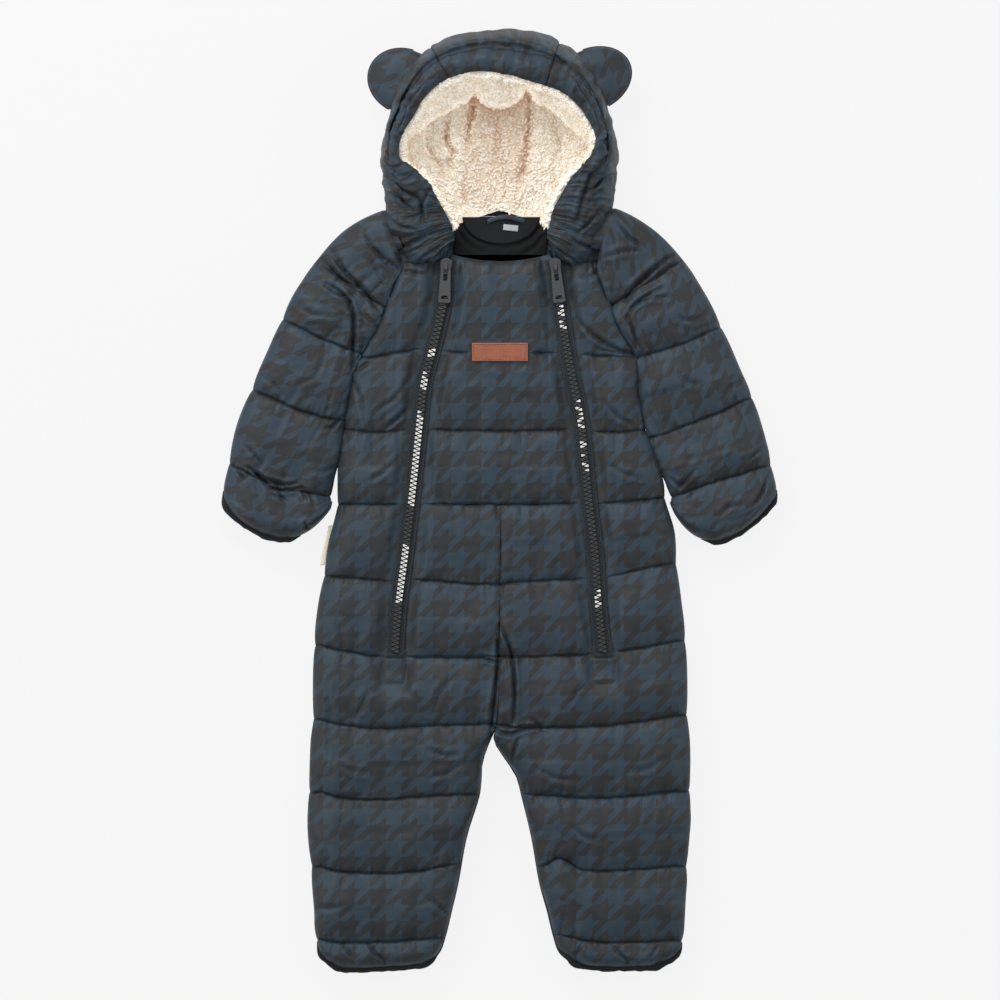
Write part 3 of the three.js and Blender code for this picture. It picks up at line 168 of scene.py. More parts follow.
# Hood section from the floor to the brim: (share, inset, share of height, lift) outside, inside, pile face
HOOD_SECTION = [
    ((0, 22, 0, 0), (0, 22, 0, 9), (0, 22, 0, 14.3)),
    ((0, 9, 0, 2), (0, 15, 0, 9.3), (0, 19, 0, 14.6)),
    ((0, 2.5, 0, 9), (0, 11, 0, 13), (0, 16, 0, 18.2)),
    ((0, 0, 0.42, 0), (0, 9, 0.42, 0), (0, 14.3, 0.42, 0)),
    ((0.1, 0, 0.66, 0), (0.1, 9, 0.62, 0), (0.1, 14.2, 0.6, 0)),
    ((0.25, 0, 0.86, 0), (0.25, 7, 0.86, -7), (0.25, 12.6, 0.86, -12)),
    ((0.42, 0, 0.885, 0), (0.42, 5, 0.9, -8.5), (0.42, 10.6, 0.9, -13.6)),
    ((0.66, 0, 1, 0), (0.66, 3, 1, -10), (0.66, 7.4, 1, -15.4)),
    ((0.9, 0, 1, -1), (0.93, 1, 1, -10), (0.93, 4, 1, -14.6)),
    ((1, 0, 1, -5), (1, 0, 1, -9), (1, 3.6, 1, -10.4)),
]

# Ears: where each is fixed, which way it points, how far it reaches and half its width
EARS = {
    "right": {"x": -81, "y": 355.6, "outward": (-0.924, 0.382), "reach": 31.5, "half": 27},
    "left": {"x": 78.2, "y": 357, "outward": (0.907, 0.42), "reach": 34.5, "half": 26},
}
EAR_Z = 31
LOCK_SPACING = 2.45
PILE_END_Y = 244.6
BINDING_TAPER = 12.0
TOOTH_STEP = 1.83
# Stretches of each zip whose teeth get painted glints of reflected light, from and to y
GLINT_STRETCHES = {
    "right": [(131, 120), (108, 94), (72, -5), (-37, -89)],
    "left": [(166, 141), (86, 60), (50, 24), (-72, -92)],
}
# how likely a tooth in those stretches is to get a painted glint
GLINT_SHARE = {"right": 1.0, "left": 0.5}
EAR_HALF_THICK = 11
EAR_DROOP = 0.12

# Quilt lines as they really run, from the side seam inwards: line, then (x, y) points
QUILT_PATHS = {
    1: [(-110, 121), (-68, 127.5), (-40, 125.5), (0, 123.5), (40, 124.5), (100, 122)],
    2: [(-134, 60), (-105, 57.5), (-72, 59.5), (0, 58.3), (66, 59.3), (100, 57.6), (126, 59.5)],
    4: [(-144.5, -64.6), (-96, -69.2), (-72, -68), (-4.3, -72.3), (12.8, -69.7), (68, -67.2), (91.8, -65.5),
        (127.5, -57), (148.8, -53.6)],
    5: [(-154.7, -123.3), (-110.5, -132.6), (-85, -133.8), (-2.6, -133.5), (10.2, -133.5), (68, -131.8),
        (97.8, -129.2), (155.6, -119)],
    6: [(-159.8, -185.3), (-114.8, -193.8), (-60, -192), (-8.5, -190.4), (11.9, -193), (85, -192.1),
        (159.8, -181.9)],
    7: [(-154.7, -248.2), (-119, -255), (-70, -252.5), (-23.8, -249.9), (23, -249.9), (83.3, -253.3),
        (153, -247.4)],
    8: [(-157.3, -311.1), (-123.3, -317.1), (-68, -315.4), (-36.6, -309.4), (34.9, -311.1), (51, -304.3),
        (68, -313.5), (85, -315.4), (153, -311.1)],
    9: [(-154.7, -373.2), (-123.3, -376.6), (-49.3, -372.3), (47.6, -369.8), (82.5, -375.7), (153, -374)],
}

# Drag creases of the front: depth, half width, then the points they run through
BODY_CREASES = [
    (2.4, 2.2, [(60, 158), (70, 148), (80, 139), (92, 131), (104, 126), (116, 124)]),
    (1.6, 2.0, [(84, 128), (96, 125.5), (112, 124.5)]),
    (1.8, 2.4, [(-124, 108.8), (-110.5, 117.3)]),
    (2.0, 2.2, [(-84, 194.5), (-74, 192.5), (-62, 190.5)]),
    (1.6, 2.2, [(88, 197), (78, 190), (66, 188)]),
    (1.6, 2.4, [(-88, 190), (-92, 178), (-104, 160)]),
    (2.2, 2.2, [(-97.8, 59.5), (-80.8, 74.8), (-74.8, 85)]),
    (1.5, 2.4, [(-126, 104), (-118, 84), (-114, 64)]),
    (1.8, 2.4, [(-110.5, -161.5), (-123.3, -185.3)]),
    (1.6, 2.2, [(-83.3, -154.7), (-76.5, -165.8)]),
    (3.4, 1.9, [(0.5, -107), (5.5, -118), (10, -131), (11.9, -148), (12.6, -168), (11.6, -189)]),
    (2.8, 1.9, [(-1.0, -120), (-1.5, -140), (-4.5, -165), (-7.5, -190), (-7.0, -203)]),
    (2.2, 1.9, [(-16, -133), (-8, -136), (-2, -138)]),
    (2.4, 2.0, [(-9, -190), (2, -198), (10, -199), (20, -194), (34, -192)]),
    (2.4, 1.9, [(15, -203), (12.5, -212), (10.5, -222)]),
    (1.6, 2.0, [(26, -186), (33, -191), (38, -199)]),
    (1.8, 2.2, [(-60, -212), (-46, -217), (-34, -216)]),
    (1.4, 2.2, [(-78, 100), (-92, 84), (-104, 76)]),
    (1.2, 2.2, [(-86, 36), (-100, 22), (-112, 16)]),
    (1.2, 2.2, [(88, 84), (100, 70), (112, 64)]),
    (1.2, 2.2, [(92, 30), (106, 22), (120, 18)]),
    (1.7, 1.9, [(-89, -157), (-80, -160), (-73, -168)]),
    (1.5, 1.9, [(74, -157), (66, -162), (60, -172)]),
    (1.2, 2.6, [(-40, -150), (-52, -166), (-58, -182)]),
    (1.2, 2.6, [(-30, -222), (-44, -232), (-60, -236)]),
    (1.2, 2.6, [(32, -228), (46, -236), (64, -238)]),
    (1.2, 2.6, [(-140, -222), (-126, -230), (-110, -232)]),
    (1.2, 2.6, [(140, -220), (126, -228), (110, -231)]),
    (1.2, 2.6, [(60, -276), (72, -286), (88, -290)]),
    (1.4, 2.4, [(-158, -345), (-146, -347), (-132, -344)]),
    (1.4, 2.4, [(-62, -338), (-52, -346), (-44, -352)]),
    (2.0, 2.0, [(-112, -376), (-105, -386), (-97, -392)]),
    (1.6, 2.0, [(-132, -378), (-124, -390)]),
    (1.8, 2.0, [(96, -378), (104, -388), (110, -393)]),
    (1.6, 2.0, [(70, -376), (64, -388)]),
    (1.4, 2.0, [(134, -378), (128, -389)]),
]
SLEEVE_CREASES = {
    "right": [
        (3.0, 2.2, [(-146, 216), (-131, 193), (-115, 177), (-103, 162)]),
        (2.2, 2.0, [(-152, 205), (-136, 189), (-122, 181)]),
        (4.2, 2.2, [(-147, 184), (-136, 177), (-128, 168), (-124, 155), (-124.5, 136), (-125, 112)]),
        (2.8, 2.2, [(-117, 229.5), (-109, 215), (-98, 204), (-85, 195)]),
        (3.0, 1.9, [(-97, 243), (-93, 228), (-87, 206), (-83, 197)]),
        (2.2, 1.7, [(-90, 232), (-86.5, 216), (-83, 201)]),
        (1.8, 2.0, [(-110, 205), (-104, 190), (-98, 180)]),
        (1.8, 2.0, [(-116, 160), (-108, 150), (-104, 146)]),
        (2.0, 2.0, [(-151.3, 183.6), (-140, 176), (-131.8, 172.6)]),
        (2.2, 1.9, [(-218.5, 48.5), (-209, 39), (-201.5, 29.8)]),
        (3.2, 1.8, [(-214, 28), (-201.5, 18.7), (-193.8, 10.2), (-185.3, 8.5), (-168.3, 10.2)]),
        (2.6, 1.7, [(-207, 22), (-196, 17), (-184, 13), (-172, 14)]),
        (2.6, 1.7, [(-168.6, 8.5), (-164.3, 0)]),
        (2.4, 1.7, [(-222.7, 25.5), (-216.8, 17.9)]),
        (2.2, 1.7, [(-189, 14), (-187, 4), (-181, -2)]),
        (2.4, 1.7, [(-166, -20), (-162, -25)]),
        (1.6, 2.0, [(-205, 20), (-196, 8), (-190, 2)]),
        (1.5, 2.0, [(-168, 11), (-160, 2), (-157, -6)]),
        (1.3, 2.4, [(-176, 168), (-160, 158), (-146, 156)]),
        (1.3, 2.4, [(-150, 118), (-158, 104), (-170, 98)]),
        (1.2, 2.4, [(-205, 108), (-192, 98), (-184, 88)]),
        (1.6, 2.0, [(-132, 72), (-142, 62), (-150, 60)]),
        (1.4, 2.0, [(-136, 30), (-150, 24), (-160, 24)]),
    ],
    "left": [
        (3.2, 2.2, [(149, 209), (136, 201), (123, 189), (113, 180), (106, 170)]),
        (2.8, 2.0, [(138, 180), (122, 172), (112, 163), (107, 154)]),
        (2.4, 2.0, [(88, 206), (103.7, 210.8), (120, 212.5)]),
        (2.0, 2.0, [(100, 236), (110, 222), (124, 214)]),
        (2.6, 1.9, [(91, 240), (87, 224), (84, 210), (84, 202)]),
        (1.8, 2.0, [(118, 168), (128, 172), (144, 172)]),
        (2.2, 2.0, [(108, 156), (113, 144), (117, 130)]),
        (2.2, 2.0, [(146.2, 17), (153, 11.9), (165.8, 25.5)]),
        (2.0, 2.0, [(210.8, 34), (222.7, 45)]),
        (2.2, 2.0, [(228, 22), (222, 4), (214, -6)]),
        (1.5, 2.2, [(186, -14), (194, -6), (206, -4)]),
        (1.3, 2.4, [(180, 160), (164, 152), (150, 154)]),
        (1.3, 2.4, [(148, 108), (160, 100), (172, 98)]),
        (1.2, 2.4, [(208, 104), (196, 96), (188, 84)]),
    ],
}
HOOD_CREASES = [
    (2.6, 1.9, [(-74.8, 348.5), (-85, 335.8), (-90.1, 318.8), (-97.8, 299.2)]),
    (2.2, 1.9, [(-66, 352), (-80, 332), (-86, 312)]),
    (2.8, 1.9, [(47.6, 374.9), (60.4, 360.4), (76.5, 336.6), (84.2, 319.6), (85.9, 309.4)]),
    (2.4, 1.8, [(91, 325.6), (93.5, 312.8), (87.6, 303.5), (91, 296.7)]),
    (2.8, 2.0, [(-95.2, 276.3), (-87.6, 268.6), (-73.1, 259.3), (-68, 254.2), (-66.3, 241.4), (-64.6, 232)]),
    (2.8, 2.0, [(88.4, 290.7), (77.4, 274.6), (71.4, 259.3), (66.3, 243.1), (64.6, 235.5)]),
    (2.2, 1.9, [(93.5, 276.3), (71.4, 259.3)]),
    (2.2, 1.9, [(-96, 262), (-84, 256), (-74, 246)]),
    (2.0, 1.9, [(-94, 240), (-84, 232), (-70, 230)]),
    (2.0, 1.9, [(86, 246), (76, 236), (64, 226)]),
    (2.0, 1.8, [(-90, 214), (-78, 216), (-64, 224)]),
    (2.0, 1.8, [(82, 214), (72, 216), (60, 222)]),
    (1.8, 1.8, [(-70, 202), (-62, 210), (-50, 216)]),
    (1.8, 1.8, [(66, 202), (58, 208), (50, 214)]),
    (1.8, 1.8, [(-60, 262), (-66, 250), (-66, 236)]),
    (1.8, 1.8, [(-98, 286), (-92, 276), (-84, 270)]),
]

# Where the print's squares start on each panel, and their repeat
PRINT = {
    "bib": (-54.4, 28.05, 25.6, 27.2),
    "side_right": (-57.0, 28.0, 26.4, 27.2),
    "side_left": (78.2, 28.0, 26.4, 27.2),
    "leg_right": (-57.0, -17.0, 26.6, 27.2),
    "leg_left": (78.2, -275.15, 27.0, 27.2),
    "back": (-3.4, 28.05, 26.7, 27.0),
    "hood": (-8.0, 372.0, 26.7, 26.7),
}
PRINT_REPEAT = 26.8


def mix(a, b, t):
    return a + (b - a) * t


def clamp01(t):
    return np.clip(t, 0.0, 1.0)


def smooth(t):
    t = clamp01(t)
    return t * t * (3 - 2 * t)


def track(rows, column, key=0):
    """A smooth curve through one column of a table, read at values of its key column."""
    rows = sorted(rows, key=lambda row: row[key])
    at = np.array([row[key] for row in rows], float)
    value = np.array([row[column] for row in rows], float)
    before = np.maximum(np.arange(len(at)) - 1, 0)
    after = np.minimum(np.arange(len(at)) + 1, len(at) - 1)
    slope = (value[after] - value[before]) / (at[after] - at[before])

    def curve(where):
        where = np.asarray(where, float)
        i = np.clip(np.searchsorted(at, where, side="left") - 1, 0, len(at) - 2)
        span = at[i + 1] - at[i]
        t = clamp01((where - at[i]) / span)
        rise = value[i + 1] - value[i]
        bend_in = slope[i] * span - rise
        bend_out = rise - slope[i + 1] * span
        return mix(value[i], value[i + 1], t) + t * (1 - t) * (bend_in * (1 - t) + bend_out * t)

    return curve


SIDES = ("right", "left")
COLUMN = {"right": 1, "left": 2}
body_edge = {s: track(BODY_EDGE, COLUMN[s]) for s in SIDES}
inner_edge = {s: track(INNER_EDGE, COLUMN[s]) for s in SIDES}
zip_line = {s: track(ZIP_LINE, COLUMN[s]) for s in SIDES}
quilt_y = track(QUILT_LINES, 1)
quilt_rise = {"right": track(QUILT_LINES, 2), "left": track(QUILT_LINES, 3)}
quilt_path = {line: track(points, 1) for line, points in QUILT_PATHS.items()}


def scatter(n, seed):
    """A fixed pseudo-random value between -1 and 1 for each whole number."""
    return 2 * np.mod(np.sin(n * 127.1 + seed * 311.7) * 43758.5453, 1.0) - 1


def wander(x, length, seed):
    """A smooth wandering line, -1 to 1, whose humps are about that long."""
    p = np.asarray(x, float) / length + 500
    i = np.floor(p)
    return mix(scatter(i, seed), scatter(i + 1, seed), smooth(p - i))


def lumps(x, y, length, seed):
    """A smooth uneven surface, -1 to 1."""
    px, py = np.asarray(x, float) / length + 300, np.asarray(y, float) / length + 300
    ix, iy = np.floor(px), np.floor(py)
    fx, fy = smooth(px - ix), smooth(py - iy)
    value = lambda a, b: scatter(a + b * 57.0, seed)
    near, far = (mix(value(ix, row), value(ix + 1, row), fx) for row in (iy, iy + 1))
    return mix(near, far, fy)


def fullness(line):
    return np.abs(np.sin(np.pi * line)) ** QUILT_EXPONENT


def channel_pad(line):
    return 1 - QUILT_SHARE * (1 - fullness(line))


def roll(distance, free, radius=None):
    radius = mix(SEAM_RADIUS, ROUND_RADIUS, free) if radius is None else radius
    base = mix(SEAM_BASE, ROUND_BASE, free)
    t = 1 - clamp01(distance / radius)
    return base + (1 - base) * np.sqrt(1 - t * t)


def flat_roll(distance, free):
    return mix(1.0, roll(distance, 1.0), free)


def hem_roll(y):
    return roll(y - HEM_Y, 1.0, HEM_RADIUS)


def scalloped(side, y, line):
    inward = 1 if side == "right" else -1
    drawn = SCALLOP * (1 - fullness(line)) * smooth((ARMPIT_Y - y) / 30)
    return body_edge[side](y) + inward * drawn


def straight_y(line, side, x):
    """Height in the plan of a quilt line that rises evenly to the side seam."""
    y = quilt_y(line)
    share = np.minimum(1, np.abs(x / body_edge[side](y)))
    return y + quilt_rise[side](line) * share**3


def wobble(line, side, x):
    """How far the sewn quilt lines stray from the even ones."""
    first = np.floor(line)
    part = smooth(line - first)
    out = np.zeros(np.broadcast(line, x).shape)
    for n, path in quilt_path.items():
        off = path(x) - straight_y(float(n), side, x)
        out = out + np.where(first == n, off * (1 - part), 0) + np.where(first + 1 == n, off * part, 0)
    return out


def along_path(x, y, points):
    """Distance of each place from a line of points, and its share of the way along it."""
    p = np.array(points, float)
    lengths = np.hypot(*(p[1:] - p[:-1]).T)
    best = np.full(np.shape(x), 1e9)
    share = np.zeros(np.shape(x))
    run = 0.0
    for a, b, length in zip(p[:-1], p[1:], lengths):
        t = clamp01(((x - a[0]) * (b[0] - a[0]) + (y - a[1]) * (b[1] - a[1])) / length**2)
        d = np.hypot(x - a[0] - t * (b[0] - a[0]), y - a[1] - t * (b[1] - a[1]))
        share = np.where(d < best, (run + t * length) / lengths.sum(), share)
        best = np.minimum(best, d)
        run += length
    return best, np.sin(np.pi * np.clip(share * 0.9 + 0.05, 0, 1)) ** 0.6


def crease(x, y, creases):
    """Sharp troughs with soft ridges beside them, along listed lines."""
    out = np.zeros(np.shape(x))
    for depth, width, points in creases:
        best, taper = along_path(x, y, points)
        trough = np.exp(-((best / (0.7 * width)) ** 1.1))
        ridge = np.exp(-(((best - 1.7 * width) / (1.1 * width)) ** 2))
        out += CREASE_DEPTH * depth * taper * (0.5 * ridge - trough)
    return out


def crease_lines(x, y, creases):
    """How closely each place lies at the bottom of a crease, 0 to 1; it sets the painted shade in creases."""
    out = np.zeros(np.shape(x))
    for depth, width, points in creases:
        best, taper = along_path(x, y, points)
        out = np.maximum(out, min(1.0, depth / 2.6) * taper * np.exp(-((best / CREASE_LINE) ** 2)))
    return out


def crumple(x, y, length, seed):
    """Low rounded folds with sharp valleys that run every way."""
    wx = x + 0.5 * length * lumps(x, y, 2.2 * length, seed + 3)
    wy = y + 0.5 * length * lumps(y, x, 2.2 * length, seed + 4)
    return 1.9 * np.abs(lumps(wx, wy, length, seed)) ** 0.8 - 0.85


def puckers(along, line, channel, seed):
    """Small gathers that run out from the nearest quilt line."""
    nearest = np.round(line)
    d = np.abs((line - nearest) * channel)
    key = seed + nearest * 7
    drift = along + 0.25 * d * wander(along, 23, seed + 2)
    fine, broad = (2.2 * np.abs(wander(drift, length, key + more)) ** 0.8 - 1.0
                   for length, more in ((4.8, 0), (11.5, 3)))
    fine = fine * np.exp(-d / 5.5) * np.minimum(1, 0.25 + d / 3)
    broad = broad * (d / 7) * np.exp(1 - d / 7)
    wide = wander(drift, 26.0, key + 5) * (d / 16) * np.exp(1 - d / 16)
    return PUCKER * (0.6 * fine + 0.6 * broad + 0.7 * wide)


def zip_puckers(x, y, side, seed):
    """Gathers that stand off each side of a zip."""
    d = np.abs(x - zip_line[side](y)) - ZIP_HALF_BED
    live = smooth((y - BED_END_Y) / 10) * (d > 0)
    shape = np.exp(-d / 7) * np.minimum(1, d / 3)
    return live * shape * (0.8 * wander(y, 6.5, seed) + 0.7 * wander(y, 15, seed + 1))


def seam_pull(distance, along, seed):
    """The sewn-down edge of a panel with its small gathers."""
    return np.exp(-distance / 6) * np.minimum(1, distance / 1.5) * (
        0.7 * wander(along, 5.5, seed) + 0.7 * wander(along, 13, seed + 4))


def front_pad(side, x, y, line, leg):
    outer = np.abs(x - scalloped(side, y, line))
    pad = FRONT_CROWN * channel_pad(line) * roll(outer, smooth((ARMPIT_Y + 14 - y) / 30))
    if leg:
        inner = np.abs(x - inner_edge[side](y))
        pad = pad * roll(inner, smooth((CROTCH_Y + 8 - y) / 22)) * hem_roll(y)
    present = smooth((y - BED_GONE_Y) / (BED_END_Y - BED_GONE_Y))
    beside = smooth((np.abs(x - zip_line[side](y)) - ZIP_HALF_BED) / (ZIP_SHOULDER - ZIP_HALF_BED))
    return mix(np.minimum(pad, mix(ZIP_BED, pad, beside)), pad, 1 - present)


def relief(side, x, y, line, seed):
    """Puckers, unevenness and creases of the front, kept off the zip's flat bed."""
    off_bed = smooth((np.abs(x - zip_line[side](y)) - ZIP_HALF_BED) / 7)
    off_bed = mix(1.0, off_bed, smooth((y - BED_GONE_Y) / 12))
    uneven = 1.1 * lumps(x, y * 1.2, 46, seed) + 0.5 * lumps(x, y, 19, seed + 1)
    uneven = uneven + 0.45 * crumple(x, y, 15, seed + 60) + 0.3 * crumple(x, y, 8, seed + 61)
    groove = -GROOVE * np.exp(-((np.abs(line - np.round(line)) * CHANNEL / 1.1) ** 2))
    out = puckers(x, line, CHANNEL, seed) + uneven * fullness(line) + crease(x, y, BODY_CREASES) + groove
    return out * off_bed + zip_puckers(x, y, side, seed + 9)


def jag(line, along, seed):
    """Small sideways shifts of a sewn quilt line where the cloth gathers on it."""
    d = np.abs(line - np.round(line)) * CHANNEL
    return np.exp(-d / 3.5) * (0.45 * wander(along, 4.6, seed) + 0.5 * wander(along, 10, seed + 1))


def fold_shade_of(x, y, line, creases, seed):
    """Painted shade at the bottoms of creases and of the quilt lines and in the low gathers beside them, 0 to
    1.
    """
    d = np.abs(line - np.round(line)) * CHANNEL
    sewn = (0.55 + 0.3 * wander(x, 7, seed + 90)) * np.exp(-((d / 0.95) ** 2))
    near = np.exp(-d / 4.5) * clamp01(-puckers(x, line, CHANNEL, seed) - 0.35) * 0.5
    return clamp01(np.maximum(np.maximum(crease_lines(x, y, creases), sewn), near))


def even(count, ease=0.55):
    """Shares from 0 to 1, closer together at both ends."""
    t = np.linspace(0, 1, count)
    return t - ease * np.sin(2 * np.pi * t) / (2 * np.pi)


def quilt_rows(start, end, per_channel=46):
    """Rows of a quilted panel, closer together at its quilt lines."""
    rows = [start]
    for n in range(math.floor(start), math.ceil(end)):
        rows += [n + t for t in even(per_channel, 0.7)[:-1] if start < n + t < end]
    return np.array(rows + [end])


# Mesh helpers
scene = bpy.context.scene


def new_mesh(name, points, faces, uv=None, material=None, slot=None, flat=False, fold_shade=None):
    """A piece from points in millimetres; uv holds one pair for each point, in repeats of the print; the last
    argument holds painted shade for each point, darkest at the bottoms of creases.
    """
    mesh = bpy.data.meshes.new(name)
    mesh.from_pydata((np.asarray(points, float) * MM).tolist(), [], [tuple(f) for f in faces])
    mesh.validate()
    if not flat:
        mesh.polygons.foreach_set("use_smooth", [True] * len(mesh.polygons))
    if uv is not None:
        layer = mesh.uv_layers.new(name="grain")
        index = np.empty(len(mesh.loops), np.int32)
        mesh.loops.foreach_get("vertex_index", index)
        layer.data.foreach_set("uv", np.asarray(uv, np.float32)[index].ravel())
    if fold_shade is not None:
        depth = mesh.attributes.new("fold_shade", "FLOAT", "POINT")
        depth.data.foreach_set("value", np.asarray(fold_shade, np.float32).ravel())
    obj = bpy.data.objects.new(name, mesh)
    scene.collection.objects.link(obj)
    if material is not None:
        mesh.materials.append(material)
    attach(obj, BODY)
    return obj


def grid_faces(rows, columns, start=0, closed=False):
    r, c = np.meshgrid(np.arange(rows - 1), np.arange(columns if closed else columns - 1), indexing="ij")
    a = start + r * columns + c
    b = start + r * columns + (c + 1) % columns
    return np.stack([a, b, b + columns, a + columns], -1).reshape(-1, 4)


def on_plane(name, top, z, uv, fold_shade=None, **kw):
    """A closed piece between a grid of points and a level plane."""
    rows, columns = top.shape[:2]
    count = rows * columns
    low = top.copy()
    low[..., 2] = z
    border = np.zeros((rows, columns), bool)
    border[[0, -1], :] = True
    border[:, [0, -1]] = True
    number = np.full((rows, columns), -1)
    number[border] = count + np.arange(border.sum())
    points = np.concatenate([top.reshape(-1, 3), low[border]])
    faces = [tuple(f) for f in grid_faces(rows, columns)]
    u = lambda r, c: r * columns + c
    w = lambda r, c: int(number[r, c])
    last, end = columns - 1, rows - 1
    for c in range(last):
        faces.append((u(0, c + 1), u(0, c), w(0, c), w(0, c + 1)))
        faces.append((u(end, c), u(end, c + 1), w(end, c + 1), w(end, c)))
    for r in range(end):
        faces.append((u(r, 0), u(r + 1, 0), w(r + 1, 0), w(r, 0)))
        faces.append((u(r + 1, last), u(r, last), w(r, last), w(r + 1, last)))
        if 0 < r < end - 1:
            faces.append((w(r, 0), w(r + 1, 0), w(r + 1, last), w(r, last)))
    half = last // 2
    for c in range(last):
        corner = 0 if c < half else last
        faces.append((w(1, corner), w(0, c + 1), w(0, c)))
        faces.append((w(end - 1, corner), w(end, c), w(end, c + 1)))
    faces.append((w(1, 0), w(1, last), w(0, half)))
    faces.append((w(end - 1, last), w(end - 1, 0), w(end, half)))
    uvs = np.concatenate([uv.reshape(-1, 2), uv[border]])
    if fold_shade is not None:
        fold_shade = np.concatenate([fold_shade.ravel(), fold_shade[border]])
    return new_mesh(name, points, consistent(points, faces), uvs, fold_shade=fold_shade, **kw)


def flat_piece(name, top, z, uv, look, node, fold_shade=None):
    """A piece on a level plane, with its cloth and the solid that it stands for."""
    material, slot = look
    piece = on_plane(name, top, z, uv, fold_shade, material=material, slot=slot)
    if node:
        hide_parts(node)
    return piece


def consistent(points, faces):
    """Faces of one closed body, all turned outwards by the sign of its volume."""
    tri = []
    for f in faces:
        for k in range(1, len(f) - 1):
            tri.append((f[0], f[k], f[k + 1]))
    tri = np.array(tri)
    a, b, c = points[tri[:, 0]], points[tri[:, 1]], points[tri[:, 2]]
    volume = (a * np.cross(b, c)).sum()
    return faces if volume > 0 else [tuple(f[::-1]) for f in faces]


def two_walls(name, outer, inner, uv, fold_shade=None, **kw):
    """A closed piece between two grids of points, joined round their borders."""
    rows, columns = outer.shape[:2]
    count = rows * columns
    points = np.concatenate([outer.reshape(-1, 3), inner.reshape(-1, 3)])
    upper = grid_faces(rows, columns)
    faces = [tuple(f) for f in upper] + [tuple(f[::-1] + count) for f in upper]
    u = lambda r, c: r * columns + c
    for r in range(rows - 1):
        faces.append((u(r, 0), u(r + 1, 0), count + u(r + 1, 0), count + u(r, 0)))
        e = columns - 1
        faces.append((u(r + 1, e), u(r, e), count + u(r, e), count + u(r + 1, e)))
    for c in range(columns - 1):
        faces.append((u(0, c + 1), u(0, c), count + u(0, c), count + u(0, c + 1)))
        e = rows - 1
        faces.append((u(e, c), u(e, c + 1), count + u(e, c + 1), count + u(e, c)))
    uvs = np.concatenate([uv.reshape(-1, 2)] * 2)
    if fold_shade is not None:
        fold_shade = np.concatenate([fold_shade.ravel()] * 2)
    return new_mesh(name, points, consistent(points, faces), uvs, fold_shade=fold_shade, **kw)


def normals(grid):
    """Unit normals of a grid of points."""
    n = np.cross(np.gradient(grid, axis=1), np.gradient(grid, axis=0))
    size = np.linalg.norm(n, axis=-1, keepdims=True)
    return n / np.maximum(size, 1e-9)


def sweep(name, path, section, **kw):
    """A closed bar: a section of (side, up) points carried along a path of (point, side direction) pairs."""
    points = []
    for centre, across in path:
        up = np.array([0.0, 0.0, 1.0])
        points.append([centre + across * s + up * z for s, z in section])
    return bar(name, points, **kw)


def bar(name, rings, **kw):
    """A closed bar from rings of points, with flat ends."""
    rings = np.array(rings)
    rows, columns = rings.shape[:2]
    points = rings.reshape(-1, 3)
    faces = [tuple(f) for f in grid_faces(rows, columns, closed=True)]
    faces += [tuple(range(columns))[::-1], tuple((rows - 1) * columns + np.arange(columns))]
    return new_mesh(name, points, consistent(points, faces), **kw)


def print_uv(key, x, y):
    start_x, start_y, across, down = PRINT[key]
    return np.stack([(x - start_x) / across, (y - start_y) / down], -1)


# Materials
def srgb(code):
    """Linear colour of a six-digit sRGB code."""
    part = [int(code[i:i + 2], 16) / 255 for i in (0, 2, 4)]
    return tuple(p / 12.92 if p <= 0.04045 else ((p + 0.055) / 1.055) ** 2.4 for p in part) + (1.0,)


class Nodes:
    """A short way to add and link shader nodes."""

    def __init__(self, name):
        self.material = bpy.data.materials.new(name)
        self.material.use_nodes = True
        self.tree = self.material.node_tree
        self.shader = next(n for n in self.tree.nodes if n.type == "BSDF_PRINCIPLED")

    def add(self, kind, **values):
        node = self.tree.nodes.new(kind)
        for key, value in values.items():
            if hasattr(node, key):
                setattr(node, key, value)
            else:
                node.inputs[key].default_value = value
        return node

    def link(self, out, into):
        self.tree.links.new(out, into)

    def math(self, operation, a, b=None):
        node = self.add("ShaderNodeMath", operation=operation)
        for socket, value in zip(node.inputs, (a, b)):
            if value is None:
                continue
            if isinstance(value, (int, float)):
                socket.default_value = value
            else:
                self.link(value, socket)
        return node.outputs[0]

    def blend(self, factor, a, b):
        node = self.add("ShaderNodeMix", data_type="RGBA")
        for socket, value in ((node.inputs[0], factor), (node.inputs[6], a), (node.inputs[7], b)):
            if isinstance(value, (int, float, tuple)):
                socket.default_value = value
            else:
                self.link(value, socket)
        return node.outputs[2]

    def noise(self, scale, detail=2.0, space="Object", rough=0.5):
        coords = self.add("ShaderNodeTexCoord")
        node = self.add("ShaderNodeTexNoise")
        node.inputs["Scale"].default_value = scale
        node.inputs["Detail"].default_value = detail
        node.inputs["Roughness"].default_value = rough
        self.link(coords.outputs[space], node.inputs["Vector"])
        return node.outputs["Fac"]

    def bump(self, height, strength, distance, after=None):
        node = self.add("ShaderNodeBump")
        node.inputs["Strength"].default_value = strength
        node.inputs["Distance"].default_value = distance
        self.link(height, node.inputs["Height"])
        if after is not None:
            self.link(after, node.inputs["Normal"])
        return node.outputs["Normal"]

    def set(self, **values):
        for key, value in values.items():
            self.shader.inputs[key.replace("_", " ")].default_value = value


NAVY = srgb("23313d")
NAVY_WORN = srgb("293844")
CHARCOAL = srgb("202325")
CHARCOAL_WORN = srgb("272a2d")


def weave(n, scale, axes=("X", "Y")):
    """Height of a plain weave from the object's own place."""
    coords = n.add("ShaderNodeTexCoord")
    split = n.add("ShaderNodeSeparateXYZ")
    n.link(coords.outputs["Object"], split.inputs[0])
    rows = [n.math("SINE", n.math("MULTIPLY", split.outputs[a], scale)) for a in axes]
    return n.math("MULTIPLY", rows[0], rows[1])


